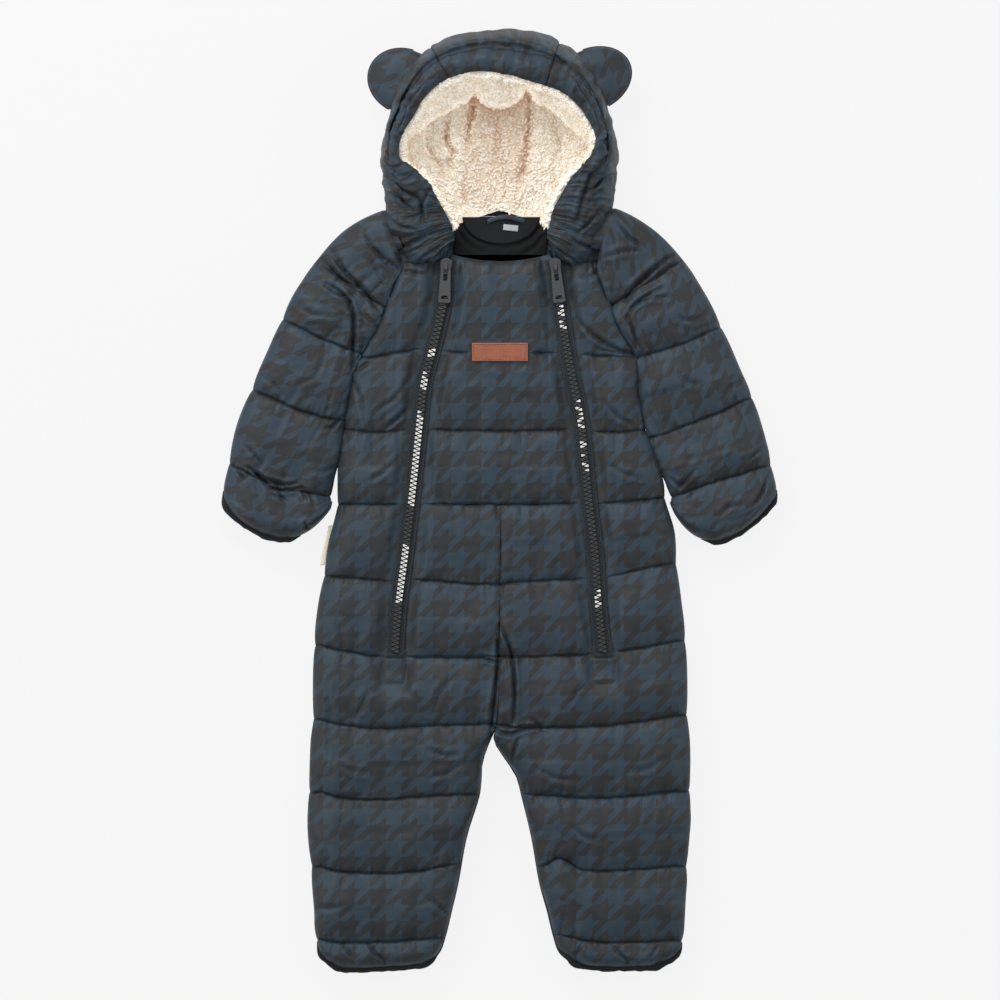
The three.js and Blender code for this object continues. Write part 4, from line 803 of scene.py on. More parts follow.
def shell_cloth():
    """Matt woven cloth with a two-colour houndstooth print along its own grain, darkened towards near black by
    painted shade at the bottoms of creases and quilt lines.
    """
    n = Nodes("shell_houndstooth")
    coords = n.add("ShaderNodeTexCoord")
    split = n.add("ShaderNodeSeparateXYZ")
    n.link(coords.outputs["UV"], split.inputs[0])
    shake = n.math("MULTIPLY", n.math("SUBTRACT", n.noise(420.0, 3.0), 0.5), 0.05)
    u = n.math("ADD", split.outputs[0], shake)
    v = n.math("ADD", split.outputs[1], shake)
    dark_u = n.math("LESS_THAN", n.math("FRACT", n.math("ADD", u, 100.0)), 0.5)
    dark_v = n.math("LESS_THAN", n.math("FRACT", n.math("ADD", v, 100.0)), 0.5)
    twill = n.math("FRACT", n.math("ADD", n.math("MULTIPLY", n.math("SUBTRACT", u, v), 2.0), 100.5))
    stripe = n.math("LESS_THAN", twill, 0.5)
    dark = n.math("ADD", n.math("MULTIPLY", stripe, dark_u),
                  n.math("MULTIPLY", n.math("SUBTRACT", 1.0, stripe), dark_v))
    mottle = n.noise(60.0, 4.0)
    navy = n.blend(mottle, NAVY, NAVY_WORN)
    charcoal = n.blend(mottle, CHARCOAL, CHARCOAL_WORN)
    # painted shade: a per-point attribute darkens the print towards near black in creases and quilt lines
    fold_shade = n.add("ShaderNodeAttribute", attribute_name="fold_shade")
    deep = n.math("MULTIPLY", fold_shade.outputs["Fac"], 0.62)
    n.link(n.blend(deep, n.blend(dark, navy, charcoal), srgb("07090b")), n.shader.inputs["Base Color"])
    cloth = n.bump(weave(n, 6500.0), 0.25, 0.0001)
    fine = n.bump(n.noise(330.0, 3.0), 0.35, 0.0007, cloth)
    n.link(fine, n.shader.inputs["Normal"])
    rough = n.add("ShaderNodeMapRange")
    n.link(mottle, rough.inputs[0])
    rough.inputs[3].default_value, rough.inputs[4].default_value = 0.5, 0.66
    n.link(rough.outputs[0], n.shader.inputs["Roughness"])
    n.set(Sheen_Weight=0.06, Sheen_Roughness=0.45, Specular_IOR_Level=0.32)
    return n.material


def plain_cloth(name, colour, worn, rough=0.75, scale=5200.0, depth=0.0002, sheen=0.15, specular=0.3):
    n = Nodes(name)
    n.link(n.blend(n.noise(90.0, 4.0), srgb(colour), srgb(worn)), n.shader.inputs["Base Color"])
    fuzz = n.noise(260.0, 3.0)
    threads = n.bump(weave(n, scale), 0.5, depth)
    n.link(n.bump(fuzz, 0.3, 0.0006, threads), n.shader.inputs["Normal"])
    n.set(Roughness=rough, Sheen_Weight=sheen, Sheen_Roughness=0.5, Specular_IOR_Level=specular)
    return n.material


def pile_cloth(name, light, deep, fold_shade, strands):
    """Curly cream pile with painted shade: warmer and darker in its creases, where u of the mesh says how deep
    in a crease it lies; it also glows as painted light, more where v of the mesh, its steepness, is high.
    """
    n = Nodes(name)
    clump = n.noise(170.0, 3.0)
    tone = n.add("ShaderNodeMapRange")
    n.link(clump, tone.inputs[0])
    tone.inputs[1].default_value, tone.inputs[2].default_value = 0.32, 0.68
    coords = n.add("ShaderNodeTexCoord")
    split = n.add("ShaderNodeSeparateXYZ")
    n.link(coords.outputs["UV"], split.inputs[0])
    plain = n.blend(tone.outputs[0], srgb(deep), srgb(light))
    # painted shade: u mixes in a warm brown for the creases and under the turned brim
    colour = n.blend(split.outputs[0], plain, srgb(fold_shade))
    n.link(colour, n.shader.inputs["Base Color"])
    # painted light: the pile glows in its own colour, with strength 0.17 where it faces up rising to 0.45 on
    # steep walls
    n.link(colour, n.shader.inputs["Emission Color"])
    if not strands:
        n.link(n.bump(n.noise(900.0, 4.0), 0.8, 0.0015), n.shader.inputs["Normal"])
    glow = n.math("MULTIPLY_ADD", split.outputs[1], 0.28)
    glow.node.inputs[2].default_value = 0.17
    n.link(glow, n.shader.inputs["Emission Strength"])
    n.set(Roughness=1.0, Sheen_Weight=0.0, Specular_IOR_Level=0.0)
    return n.material


def painted_metal(name, colour, worn, rough, metallic):
    n = Nodes(name)
    wear = n.noise(500.0, 4.0)
    n.link(n.blend(wear, srgb(colour), srgb(worn)), n.shader.inputs["Base Color"])
    spread = n.add("ShaderNodeMapRange")
    n.link(wear, spread.inputs[0])
    spread.inputs[3].default_value, spread.inputs[4].default_value = rough - 0.08, rough + 0.08
    n.link(spread.outputs[0], n.shader.inputs["Roughness"])
    n.link(n.bump(n.noise(1800.0, 2.0), 0.12, 0.0001), n.shader.inputs["Normal"])
    n.set(Metallic=metallic)
    return n.material


def patch_leather():
    n = Nodes("patch_leather")
    grain = n.noise(700.0, 5.0)
    n.link(n.blend(n.noise(120.0, 3.0), srgb("7d4430"), srgb("96583f")), n.shader.inputs["Base Color"])
    pores = n.add("ShaderNodeTexVoronoi")
    pores.inputs["Scale"].default_value = 1500.0
    coords = n.add("ShaderNodeTexCoord")
    n.link(coords.outputs["Object"], pores.inputs["Vector"])
    grained = n.bump(grain, 0.35, 0.0003)
    n.link(n.bump(pores.outputs["Distance"], 0.35, 0.0001, grained), n.shader.inputs["Normal"])
    n.set(Roughness=0.52, Specular_IOR_Level=0.45)
    return n.material


SHELL = shell_cloth()
CLOTH = (SHELL, "shell")
SHELL_PLAIN = plain_cloth("shell_welt", "20262c", "272e35", 0.65, 6500.0, 0.0001, 0.06, 0.3)
MOON = plain_cloth("half_moon_black", "0e0f11", "141518", 0.7, 4800.0, 0.0002, 0.03, 0.2)
BINDING = plain_cloth("binding_black", "1a1b1d", "222326", 0.85, 3600.0, 0.0003, 0.06, 0.2)
FACING = plain_cloth("facing_black", "0b0c0d", "101113", 0.75, 4800.0, 0.0002, 0.03, 0.18)
TAPE = plain_cloth("zip_tape_cloth", "23282c", "2d3236", 0.85, 2400.0, 0.0005, 0.08, 0.25)
THREAD = plain_cloth("thread_dark", "15191d", "1c2024", 0.8, 9000.0, 0.0001, 0.03, 0.15)
THREAD_TAN = plain_cloth("thread_tan", "5a3022", "6a3a2a", 0.7, 9000.0, 0.0001)
CREAM = plain_cloth("label_cream", "e2d7bf", "ece3d0", 0.8, 3000.0, 0.0003)
WHITE = plain_cloth("label_white", "9a9c9c", "a8aaaa", 0.75, 3000.0, 0.0002)
# the third colour of each pile is painted shade, a warm brown for creases and under the turned brim
PILE = pile_cloth("pile_backing", "e4ded2", "d5c7b3", "a78769", False)
LOCKS = pile_cloth("pile_locks", "ebe7df", "dfd3c3", "be9d85", True)
TEETH = painted_metal("zip_teeth_dark", "37393a", "4a4c4c", 0.25, 0.3)
# painted glint: a bright white-grey material that stands in for reflected light on the teeth
TEETH_GLINT = painted_metal("zip_teeth_painted_glint", "f2f1ec", "dcdbd6", 0.3, 0.35)
PULL_METAL = painted_metal("zip_pull_grey", "55585a", "494b4d", 0.42, 0.5)
LEATHER = patch_leather()


# Front and back of body and legs
def panel_columns(side, rows, shares, leg):
    """x of each point of a panel from its zip or inside edge out to the side seam."""
    y = quilt_y(rows)
    inward = 1 if side == "right" else -1
    seam = smooth((y - ARMPIT_Y + 10) / 12)
    outer = scalloped(side, y, rows) + inward * (SEAM_GAP / 2 - SEAM_TUCK * seam)
    inner = (inner_edge if leg else zip_line)[side](y) + inward * (SEAM_GAP / 2 if leg else -SEAM_GAP / 2)
    return y[:, None], inner[:, None] + (outer - inner)[:, None] * shares[None, :]


def front_panel(name, side, rows, count, leg, key, seed, node):
    shares = even(count)
    y, x = panel_columns(side, rows, shares, leg)
    line = np.broadcast_to(rows[:, None], x.shape)
    y = np.broadcast_to(y, x.shape)
    place_y = straight_y(line, side, x) + wobble(line, side, x) + jag(line, x, seed + 70)
    z = FRONT_BASE + front_pad(side, x, y, line, leg) + relief(side, x, place_y, line, seed)
    # painted shade at the bottoms of creases and quilt lines
    fold_shade = fold_shade_of(x, place_y, line, BODY_CREASES, seed)
    edge = np.abs(x - x[:, -1:])
    z = z + seam_pull(edge, place_y, seed + 20) * smooth((y - ARMPIT_Y) / 20)
    if leg:
        centre = np.abs(x - x[:, :1])
        z = z + seam_pull(centre, place_y, seed + 21) * smooth((y - CROTCH_Y) / 12)
        hem = y - HEM_Y
        hem_gathers = 1.3 * wander(x, 8, seed + 22) + 0.8 * wander(x, 17, seed + 23)
        z = z + np.exp(-hem / 9) * hem_gathers * smooth(hem / 3)
        z = z + zip_end_box(side, x, place_y)
        x = x + np.where(shares[None, :] > 0.5, 1, -1) * 0.5 * wander(place_y, 17, seed + 30) * (
            np.exp(-np.minimum(edge, centre) / 8)) * smooth((CROTCH_Y - y) / 20 + (shares[None, :] > 0.5))
    z = np.maximum(z, FRONT_BASE + 0.5)
    top = np.stack([x, place_y, z], -1)
    top[0, :, 1] += SEAM_GAP / 2 if leg else 0.0
    top[-1, :, 1] -= 0.0 if leg else SEAM_GAP / 2
    return flat_piece(name, top, FRONT_BASE, print_uv(key, x, place_y), CLOTH, node, fold_shade), top


def zip_end_box(side, x, y):
    """The folded and stitched box of cloth that closes a zip's lower end."""
    off = np.abs(x - zip_line[side](y))
    along = smooth((ZIP_END_Y - 1.5 - y) / 0.9) * smooth((y + 155.0) / 1.6)
    across = smooth((9.0 - off) / 1.2)
    raised = 2.0 * along * across
    groove = -1.4 * np.exp(-(((off - 9.6) / 0.9) ** 2)) * smooth((-112 - y) / 10) * smooth((y + 157.0) / 2)
    lower = -1.4 * np.exp(-(((y + 155.6) / 1.0) ** 2)) * across
    return raised + groove + lower


def bib_piece():
    rows = quilt_rows(0.0, float(WAIST_LINE))
    count = 131
    y0 = quilt_y(rows)
    dip = BIB_DIP * np.maximum(0, 1 - rows * 2.2)
    trim = SEAM_GAP / 2 + 0.6 * clamp01(1 - rows)
    right = zip_line["right"](y0 + dip) + trim
    left = zip_line["left"](y0 + dip) - trim
    shares = even(count)
    x = right[:, None] + (left - right)[:, None] * shares[None, :]
    line = np.broadcast_to(rows[:, None], x.shape)
    y = np.broadcast_to(y0[:, None], x.shape)
    off = np.abs(x) / np.abs(np.where(x < 0, right[:, None], left[:, None]))
    place_y = np.empty_like(x)
    pad = np.empty_like(x)
    bumps = np.empty_like(x)
    for side, mask in (("right", x < 0), ("left", x >= 0)):
        place_y = np.where(mask, straight_y(line, side, x) + wobble(line, side, x), place_y)
        pad = np.where(mask, front_pad(side, x, y, line, False), pad)
        bumps = np.where(mask, relief(side, x, y, line, 41), bumps)
    place_y = place_y + dip[:, None] * off**2 + jag(line, x, 171) * smooth(line / 0.2)
    under = smooth((34 - np.abs(x)) / 8) * smooth((0.4 - np.abs(line - 1)) / 0.15)
    patch = smooth((30 - np.abs(x)) / 5) * smooth((0.22 - np.abs(line - 1)) / 0.08)
    z = FRONT_BASE + mix(pad, PATCH_PAD, under) + bumps * (1 - 0.97 * patch)
    top_edge = y0[0] - y
    z = z - 4.5 * np.exp(-top_edge / 3.2) + 0.8 * np.exp(-top_edge / 7) * wander(x, 9, 77)
    top = np.stack([x, place_y, z], -1)
    # painted shade at the bottoms of creases and quilt lines
    fold_shade = fold_shade_of(x, place_y, line, BODY_CREASES, 41) * smooth(line / 0.1)
    level = FRONT_BASE + BIB_LIFT
    return flat_piece("bib_cloth", top, level, print_uv("bib", x, place_y), CLOTH, "bib", fold_shade)


def small_piece(name, place, z, look, node, grain=LABEL_STEP):
    """A small flat piece from its grids of x, y and height."""
    x, y = place[:2]
    return flat_piece(name, np.stack(place, -1), z, np.stack([x, y], -1) / grain, look, node)


def back_piece(name, rows, columns_of, free_of, key, node, side_of):
    """A back panel, flat on the surface and rolled up at its free edges."""
    x = columns_of(rows)
    line = np.broadcast_to(rows[:, None], x.shape)
    y = np.broadcast_to(quilt_y(rows)[:, None], x.shape)
    place_y = np.where(x < 0, straight_y(line, "right", x), straight_y(line, "left", x))
    if side_of:
        place_y = straight_y(line, side_of, x)
    z = BACK_THICK * (1 - free_of(x, y, line))
    z = np.where(z < 0.02, 0.0, z)
    low = np.stack([x, place_y, z], -1)
    return flat_piece(name, low, BACK_THICK, print_uv(key, x, place_y), CLOTH, node)


def back_body():
    rows = quilt_rows(0.0, float(WAIST_LINE), 12)
    shares = even(50)

    def columns(lines):
        y = quilt_y(lines)
        tuck = SEAM_TUCK * smooth((y - ARMPIT_Y + 10) / 12)
        right = scalloped("right", y, lines) + SEAM_GAP / 2 - tuck
        left = scalloped("left", y, lines) - SEAM_GAP / 2 + tuck
        return right[:, None] + (left - right)[:, None] * shares[None, :]

    def free(x, y, line):
        edge = np.where(x < 0, scalloped("right", y, line), scalloped("left", y, line))
        return flat_roll(np.abs(x - edge), smooth((ARMPIT_Y + 10 - y) / 30))

    return back_piece("back_body_cloth", rows, columns, free, "back", "back_body", None)


def yoke():
    """The strip of the back above the first quilt line, up to the back neck seam."""
    y = np.linspace(203.3, NECK_Y - SEAM_GAP, 12)
    shares = even(40, 0.3)
    right = body_edge["right"](y) + SEAM_GAP / 2
    left = body_edge["left"](y) - SEAM_GAP / 2
    x = right[:, None] + (left - right)[:, None] * shares[None, :]
    yy = np.broadcast_to(y[:, None], x.shape)
    top = np.stack([x, yy, np.full(x.shape, BACK_THICK) + 0.2 * lumps(x, yy, 14, 3) - 0.2], -1)
    return flat_piece("back_yoke_cloth", top, 0.0, print_uv("back", x, yy), CLOTH, None)


def back_leg(side):
    rows = np.concatenate([quilt_rows(3.0, 9.0, 12), np.linspace(9.05, END_LINE, 9)])
    shares = even(44)

    def free(x, y, line):
        outer = np.abs(x - scalloped(side, y, line))
        inner = np.abs(x - inner_edge[side](y))
        return flat_roll(outer, 1.0) * flat_roll(inner, smooth((CROTCH_Y + 8 - y) / 22)) * hem_roll(y)

    def columns(lines):
        _, x = panel_columns(side, lines, shares, True)
        return x

    return back_piece(f"back_leg_{side}_cloth", rows, columns, free, "back", f"back_leg_{side}", side)


# Sleeves
SLEEVE_TRACKS = {s: [track(SLEEVES[s], k) for k in range(1, 7)] for s in SIDES}


def sleeve_place(side, line, across):
    at = [curve(line) for curve in SLEEVE_TRACKS[side]]
    w = ((1 - across) * (1 - 2 * across), 4 * across * (1 - across), across * (2 * across - 1))
    return (w[0] * at[0] + w[1] * at[2] + w[2] * at[4], w[0] * at[1] + w[1] * at[3] + w[2] * at[5])


def sleeve_end(side, line):
    """Where each row of a sleeve meets the raglan or side seam, as a share across it."""
    sign = -1 if side == "right" else 1
    low = np.full(line.shape, 0.6)
    high = np.full(line.shape, 1.12)
    for _ in range(26):
        middle = (low + high) / 2
        x, y = sleeve_place(side, line, middle)
        tucked = SHOULDER_TUCK * smooth((y - SHOULDER_Y) / 5)
        outside = sign * (x - body_edge[side](y)) > SEAM_GAP - tucked
        low = np.where(outside, middle, low)
        high = np.where(outside, high, middle)
    return mix(low, np.minimum(low, 1.0), smooth((line - 0.9) / 0.4))


def sleeve_layer(side, front):
    count = 86 if front else 40
    lines = np.concatenate([quilt_rows(-0.82, 3.0, 46 if front else 12),
                            3 + even(40 if front else 14, 0.5)[1:] * (CUFF_LINE - 3)])
    start = sleeve_place(side, lines, 0.0)
    end = sleeve_place(side, lines, 1.0)
    width = np.hypot(end[0] - start[0], end[1] - start[1])
    free = smooth((lines - 1) / 0.35)
    draw = SCALLOP * (1 - fullness(lines)) * smooth((lines - 0.2) / 0.3)
    first = draw / width
    touching = smooth((lines + 0.8) / 0.3) * smooth((2.75 - lines) / 0.35)
    last = sleeve_end(side, lines) - draw * free / width * (1 - touching)
    last = last + mix(SEAM_TUCK, SLEEVE_TUCK, free) * touching / width
    shares = even(count)
    across = first[:, None] + (last - first)[:, None] * shares[None, :]
    line = np.broadcast_to(lines[:, None], across.shape)
    x, y = sleeve_place(side, line, across)
    w = width[:, None]
    outer = np.maximum(0, (across - first[:, None]) * w)
    inner = np.maximum(0, (last[:, None] - across) * w)
    cuff = roll((CUFF_LINE - line) * SLEEVE_CHANNEL, 1.0, HEM_RADIUS)
    inwards = 1 if side == "right" else -1
    grain_x = inwards * (across - 0.5) * mix(w, 88.0, 0.5) / PRINT_REPEAT + 0.3
    grain_y = -line * SLEEVE_GRAIN / PRINT_REPEAT + 0.2
    uv = np.stack([grain_x, grain_y], -1)
    if not front:
        z = BACK_THICK * (1 - roll(outer, 1.0) * flat_roll(inner, free[:, None]) * cuff)
        z = np.where(z < 0.02, 0.0, z)
        return flat_piece(f"sleeve_back_{side}_cloth", np.stack([x, y, z], -1), BACK_THICK, uv, CLOTH,
                          f"sleeve_back_{side}")
    seed = 61 if side == "right" else 83
    along = across * w
    pad = FRONT_CROWN * channel_pad(np.maximum(line, UNDER_HOOD)) * roll(outer, 1.0)
    pad = pad * roll(inner, free[:, None]) * cuff
    uneven = 1.1 * lumps(x, y, 40, seed) + 0.5 * lumps(x, y, 17, seed + 1)
    uneven = uneven + 0.55 * crumple(x, y, 14, seed + 60) + 0.35 * crumple(x, y, 7.5, seed + 61)
    sewn_up = smooth((line + 0.7) / 0.3) * smooth(line / 0.2 + 0.6)
    z = FRONT_BASE + pad + 1.15 * puckers(along, line, SLEEVE_CHANNEL, seed) * smooth((line + 0.7) / 0.3)
    z = z - GROOVE * np.exp(-((np.abs(line - np.round(line)) * SLEEVE_CHANNEL / 1.1) ** 2)) * sewn_up
    # painted shade at the bottoms of the sleeve's quilt lines and creases
    fold_shade = np.maximum(fold_shade_of(along, y, line, [], seed) * sewn_up, crease_lines(x, y, SLEEVE_CREASES[side]))
    z = z + uneven * fullness(line) * smooth(outer / 14) + crease(x, y, SLEEVE_CREASES[side])
    z = z + 1.2 * seam_pull(inner, y, seed + 5) * (1 - free[:, None])
    end_gap = (CUFF_LINE - line) * SLEEVE_CHANNEL
    end_gathers = 1.2 * wander(along, 7, seed + 6) + 0.8 * wander(along, 15, seed + 7)
    z = z + np.exp(-end_gap / 9) * end_gathers * smooth(end_gap / 3)
    z = np.maximum(z, FRONT_BASE + 0.5)
    out_x, out_y = start[0][:, None] - x, start[1][:, None] - y
    size = np.maximum(np.hypot(out_x, out_y), 1e-6)
    ripple = 0.6 * wander(line * SLEEVE_CHANNEL, 15, seed + 8) * np.exp(-outer / 8)
    y = y + 1.2 * jag(line, along, seed + 70) * sewn_up * (line < 3.3)
    x = x + out_x / size * ripple * (outer > 0.01)
    y = y + out_y / size * ripple * (outer > 0.01)
    return flat_piece(f"sleeve_front_{side}_cloth", np.stack([x, y, z], -1), FRONT_BASE, uv, CLOTH,
                      f"sleeve_front_{side}", fold_shade)


# Hood
def spline(values, at):
    """Smooth curve through values at 0, 1, 2 and so on."""
    values = np.asarray(values, float)
    n = len(values)
    i = np.clip(np.floor(at).astype(int), 0, n - 2)
    t = (np.asarray(at) - i)[..., None] if values.ndim > 1 else np.asarray(at) - i
    p0, p1 = values[np.maximum(i - 1, 0)], values[i]
    p2, p3 = values[i + 1], values[np.minimum(i + 2, n - 1)]
    square = 2 * p0 - 5 * p1 + 4 * p2 - p3
    cube = 3 * p1 - p0 - 3 * p2 + p3
    return 0.5 * (2 * p1 + (p2 - p0) * t + square * t**2 + cube * t**3)


SECTION = np.array(HOOD_SECTION, float)
STATIONS = np.array(HOOD_STATIONS, float)


def hood_surface(stations, sections, layer):
    """Points of a hood layer at fractional stations and sections."""
    row = spline(STATIONS, stations)[:, None, :]
    s = spline(SECTION[:, layer, :], sections)[None, :, :]
    across = row[..., 2:4] - row[..., 0:2]
    width = np.linalg.norm(across, axis=-1, keepdims=True)
    reach = s[..., 0:1] * width + s[..., 1:2]
    plan = row[..., 0:2] + across / width * reach
    z = np.maximum(0.0, s[..., 2] * row[..., 4] + s[..., 3])
    return np.concatenate([plan, z[..., None]], -1)


def keep_off_back(grid):
    """Below the neck seam the hood rests on the back layer."""
    on_back = grid[..., 1] < NECK_Y + 0.2
    grid[..., 2] = np.where(on_back, np.maximum(grid[..., 2], BACK_THICK + 0.4), grid[..., 2])
    return grid


def hood_panel(name, first, last, node, seed):
    rows = int((last - first) * STATION_LENGTH / HOOD_ROW_STEP) + 2
    stations = np.linspace(first, last, rows)
    sections = np.concatenate([np.linspace(0, 2, 7)[:-1], np.linspace(2, 9, 74)])
    outer = hood_surface(stations, sections, 0)
    inner = hood_surface(stations, sections, 1)
    n = normals(outer)
    if (n * (outer - inner)).sum() < 0:
        n = -n
    u = np.broadcast_to(stations[:, None], outer.shape[:2])
    v = np.broadcast_to(sections[None, :], outer.shape[:2])
    along = u * STATION_LENGTH
    flap = np.maximum(smooth((8.5 - u) / 2.5), smooth((u - 18.5) / 2.5))
    upper = smooth((v - 3) / 1)
    brim = np.abs(v - 6) * 5.5
    lift = puckers_on(brim, along, seed) * (1 - flap) * upper
    lift = lift - 1.9 * np.exp(-((brim / 1.7) ** 2)) * (1 - flap) * upper
    lift = lift + flap * 2.2 * np.exp(-(((v - 6) / 0.8) ** 2))
    rim = (9 - v) * 5.0
    gathers = 2.4 * np.abs(wander(along + 1.5 * wander(v * 9, 6, seed), 5.6, seed + 3)) ** 0.8
    gathers = gathers - 1.1 + 1.1 * wander(along + 2 * v, 10, seed + 4)
    lift = lift + flap * gathers * np.exp(-rim / 17) * smooth(rim / 2)
    lift = lift + flap * 1.6 * wander(along * 0.8 + 3 * v, 17, seed + 5) * smooth((v - 2.5) / 2)
    x, y = outer[..., 0], outer[..., 1]
    lift = lift + crease(x, y, HOOD_CREASES) * smooth((v - 3.5) / 0.8)
    lift = lift + 1.1 * lumps(along, v * 6, 34, seed + 6) + 0.5 * lumps(along, v * 6, 13, seed + 7)
    crumpled = 0.7 * crumple(along, v * 7, 14, seed + 60) + 0.45 * crumple(along, v * 7, 7.5, seed + 61)
    lift = lift + crumpled * upper
    # painted shade in the hood's creases, along its brim quilt line, in the gathers of its flaps and along the
    # crown seams
    fold_shade = crease_lines(x, y, HOOD_CREASES) * smooth((v - 3.5) / 0.8)
    sewn = (0.55 + 0.3 * wander(along, 8, seed + 90)) * np.exp(-((brim / 1.1) ** 2))
    fold_shade = np.maximum(fold_shade, sewn * (1 - flap))
    fold_shade = np.maximum(fold_shade, flap * clamp01(-0.6 * gathers - 0.15) * np.exp(-rim / 14))
    low_puckers = 1.2 * wander(along, 9, seed + 8) + 0.8 * wander(along, 21, seed + 9)
    lift = lift + np.exp(-np.abs(v - 2.6) / 0.8) * low_puckers
    for seam in CROWN_SEAMS:
        d = np.abs(u - seam) * STATION_LENGTH
        lift = lift - 1.5 * np.exp(-((d / 1.8) ** 2)) + seam_pull(d, v * 9, seed + 11) * 1.2
        fold_shade = np.maximum(fold_shade, 0.35 * np.exp(-((d / 0.8) ** 2)))
    lift = lift * smooth(v / 1.2) * smooth((9.2 - v) / 0.4)
    lift = np.clip(lift, -4.5, 4.5)
    outer = keep_off_back(outer + n * lift[..., None])
    outer[..., 2] = np.maximum(outer[..., 2], 0.0)
    inner = keep_off_back(inner)
    start_x, start_y, repeat, _ = PRINT["hood"]
    lean = 0.45 * (outer[..., 2] - 40)
    grain_x = (x - start_x + np.sign(x) * lean * np.abs(x) / 100) / repeat
    uv = np.stack([grain_x, (y - start_y + lean) / repeat], -1)
    piece = two_walls(name, outer, inner, uv, fold_shade, material=SHELL, slot="shell")
    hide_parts(node)
    return piece


def puckers_on(distance, along, seed):
    fine = wander(along, 4.6, seed) * np.exp(-distance / 5) * np.minimum(1, 0.35 + distance / 3)
    broad = wander(along + 0.3 * distance, 11, seed + 1) * (distance / 7) * np.exp(1 - distance / 7)
    return 0.8 * fine + 1.1 * broad


# Folds of the pile lining where it turns from the brim's inside to the back of the hood
PILE_TURN = [(-84, 298), (-72, 312), (-60, 322), (-46, 331), (-34, 337), (-26, 341), (-21, 345.5), (-16, 340),
             (-10, 336), (0, 334), (10, 336), (17, 342), (22, 349), (27, 344), (34, 338), (44, 332), (56, 322),
             (66, 312), (76, 300)]
PILE_FOLDS = [
    (3.6, 4.5, [(-21, 344), (-23, 330), (-27, 316), (-29, 302)]),
    (3.9, 5.0, [(24, 345), (26, 328), (24, 310), (22, 292), (18, 272)]),
    (4.0, 4.5, [(-44, 322), (-46, 308), (-40, 296), (-46, 282)]),
    (3.2, 4.0, [(-62, 300), (-54, 290), (-50, 276)]),
    (1.6, 5.0, [(-2, 322), (-1, 304), (-3, 286)]),
    (2.0, 5.0, [(48, 314), (52, 300), (48, 288)]),
    (2.8, 4.0, [(-30, 280), (-32, 262), (-30, 250)]),
]


def pile_relief(x, y):
    return np.maximum(crease(x, y, PILE_FOLDS), -4.5) + 1.8 * lumps(x, y, 15, 5) + 0.9 * lumps(x, y, 7, 6)


PILE_TURN_Y = track(PILE_TURN, 1)


def pile_shade(x, y):
    """Painted shade of the pile: how much warmer and darker it is painted in its creases, under the turned
    brim and on the back of the hood, 0 to 1.
    """
    below = PILE_TURN_Y(np.clip(x, -84, 76)) - y
    under = 0.75 * np.exp(-np.maximum(below, 0) / 9) * smooth(below / 2.5)
    under = under * (0.45 + 0.55 * smooth((30 - np.abs(x)) / 14))
    back = 0.3 * smooth(below / 4) * smooth((34 - np.abs(x + 2)) / 14)
    folds = np.zeros(np.shape(x))
    for depth, width, points in PILE_FOLDS:
        folds = np.maximum(folds, -crease(x, y, [(depth / 5.0, width * 1.3, points)]))
    low = smooth((y - 246) / 10)
    return clamp01(under + back + 0.75 * folds) * low


def pile_height(x, y):
    """Level of the pile inside the hood: deep on the back of the hood, higher on the turned brim."""
    turn = PILE_TURN_Y(x)
    bank = smooth((y - turn + 1.5) / 5.0)
    rise = 15.0 + clamp01((y - turn) / 26) * 26
    side = np.maximum(smooth((-58 - x) / 22), smooth((x - 52) / 22)) * smooth((y - 250) / 20)
    floor = 15.5 + 11 * side
    return mix(floor, np.maximum(floor, rise + 9), bank)


def pile_wall(first, last):
    """The lining from the brim's edge down the shell to the floor of the hood and in to its middle."""
    rows = int((last - first) * 26 / 2.2) + 2
    stations = np.linspace(first, last, rows)
    wall = hood_surface(stations, np.linspace(9, 0.6, 30), 2)
    foot = wall[:, -1]
    middle_y = np.clip(foot[:, 1], 247, 318)
    past = -1.2 * np.sign(foot[:, 0])
    middle = np.stack([past, middle_y, np.full(rows, 15.0)], -1)
    t = np.linspace(0, 1, 44)[1:]
    floor = foot[:, None, :] + (middle - foot)[:, None, :] * t[None, :, None]
    floor[..., 2] = pile_height(floor[..., 0], floor[..., 1])
    return stations, wall, floor


def steepness(normal):
    """0 where the pile faces up, 1 on the walls inside the hood; it makes the steep walls glow brighter as
    painted light.
    """
    return clamp01((0.93 - np.abs(normal[..., 2])) / 0.6)


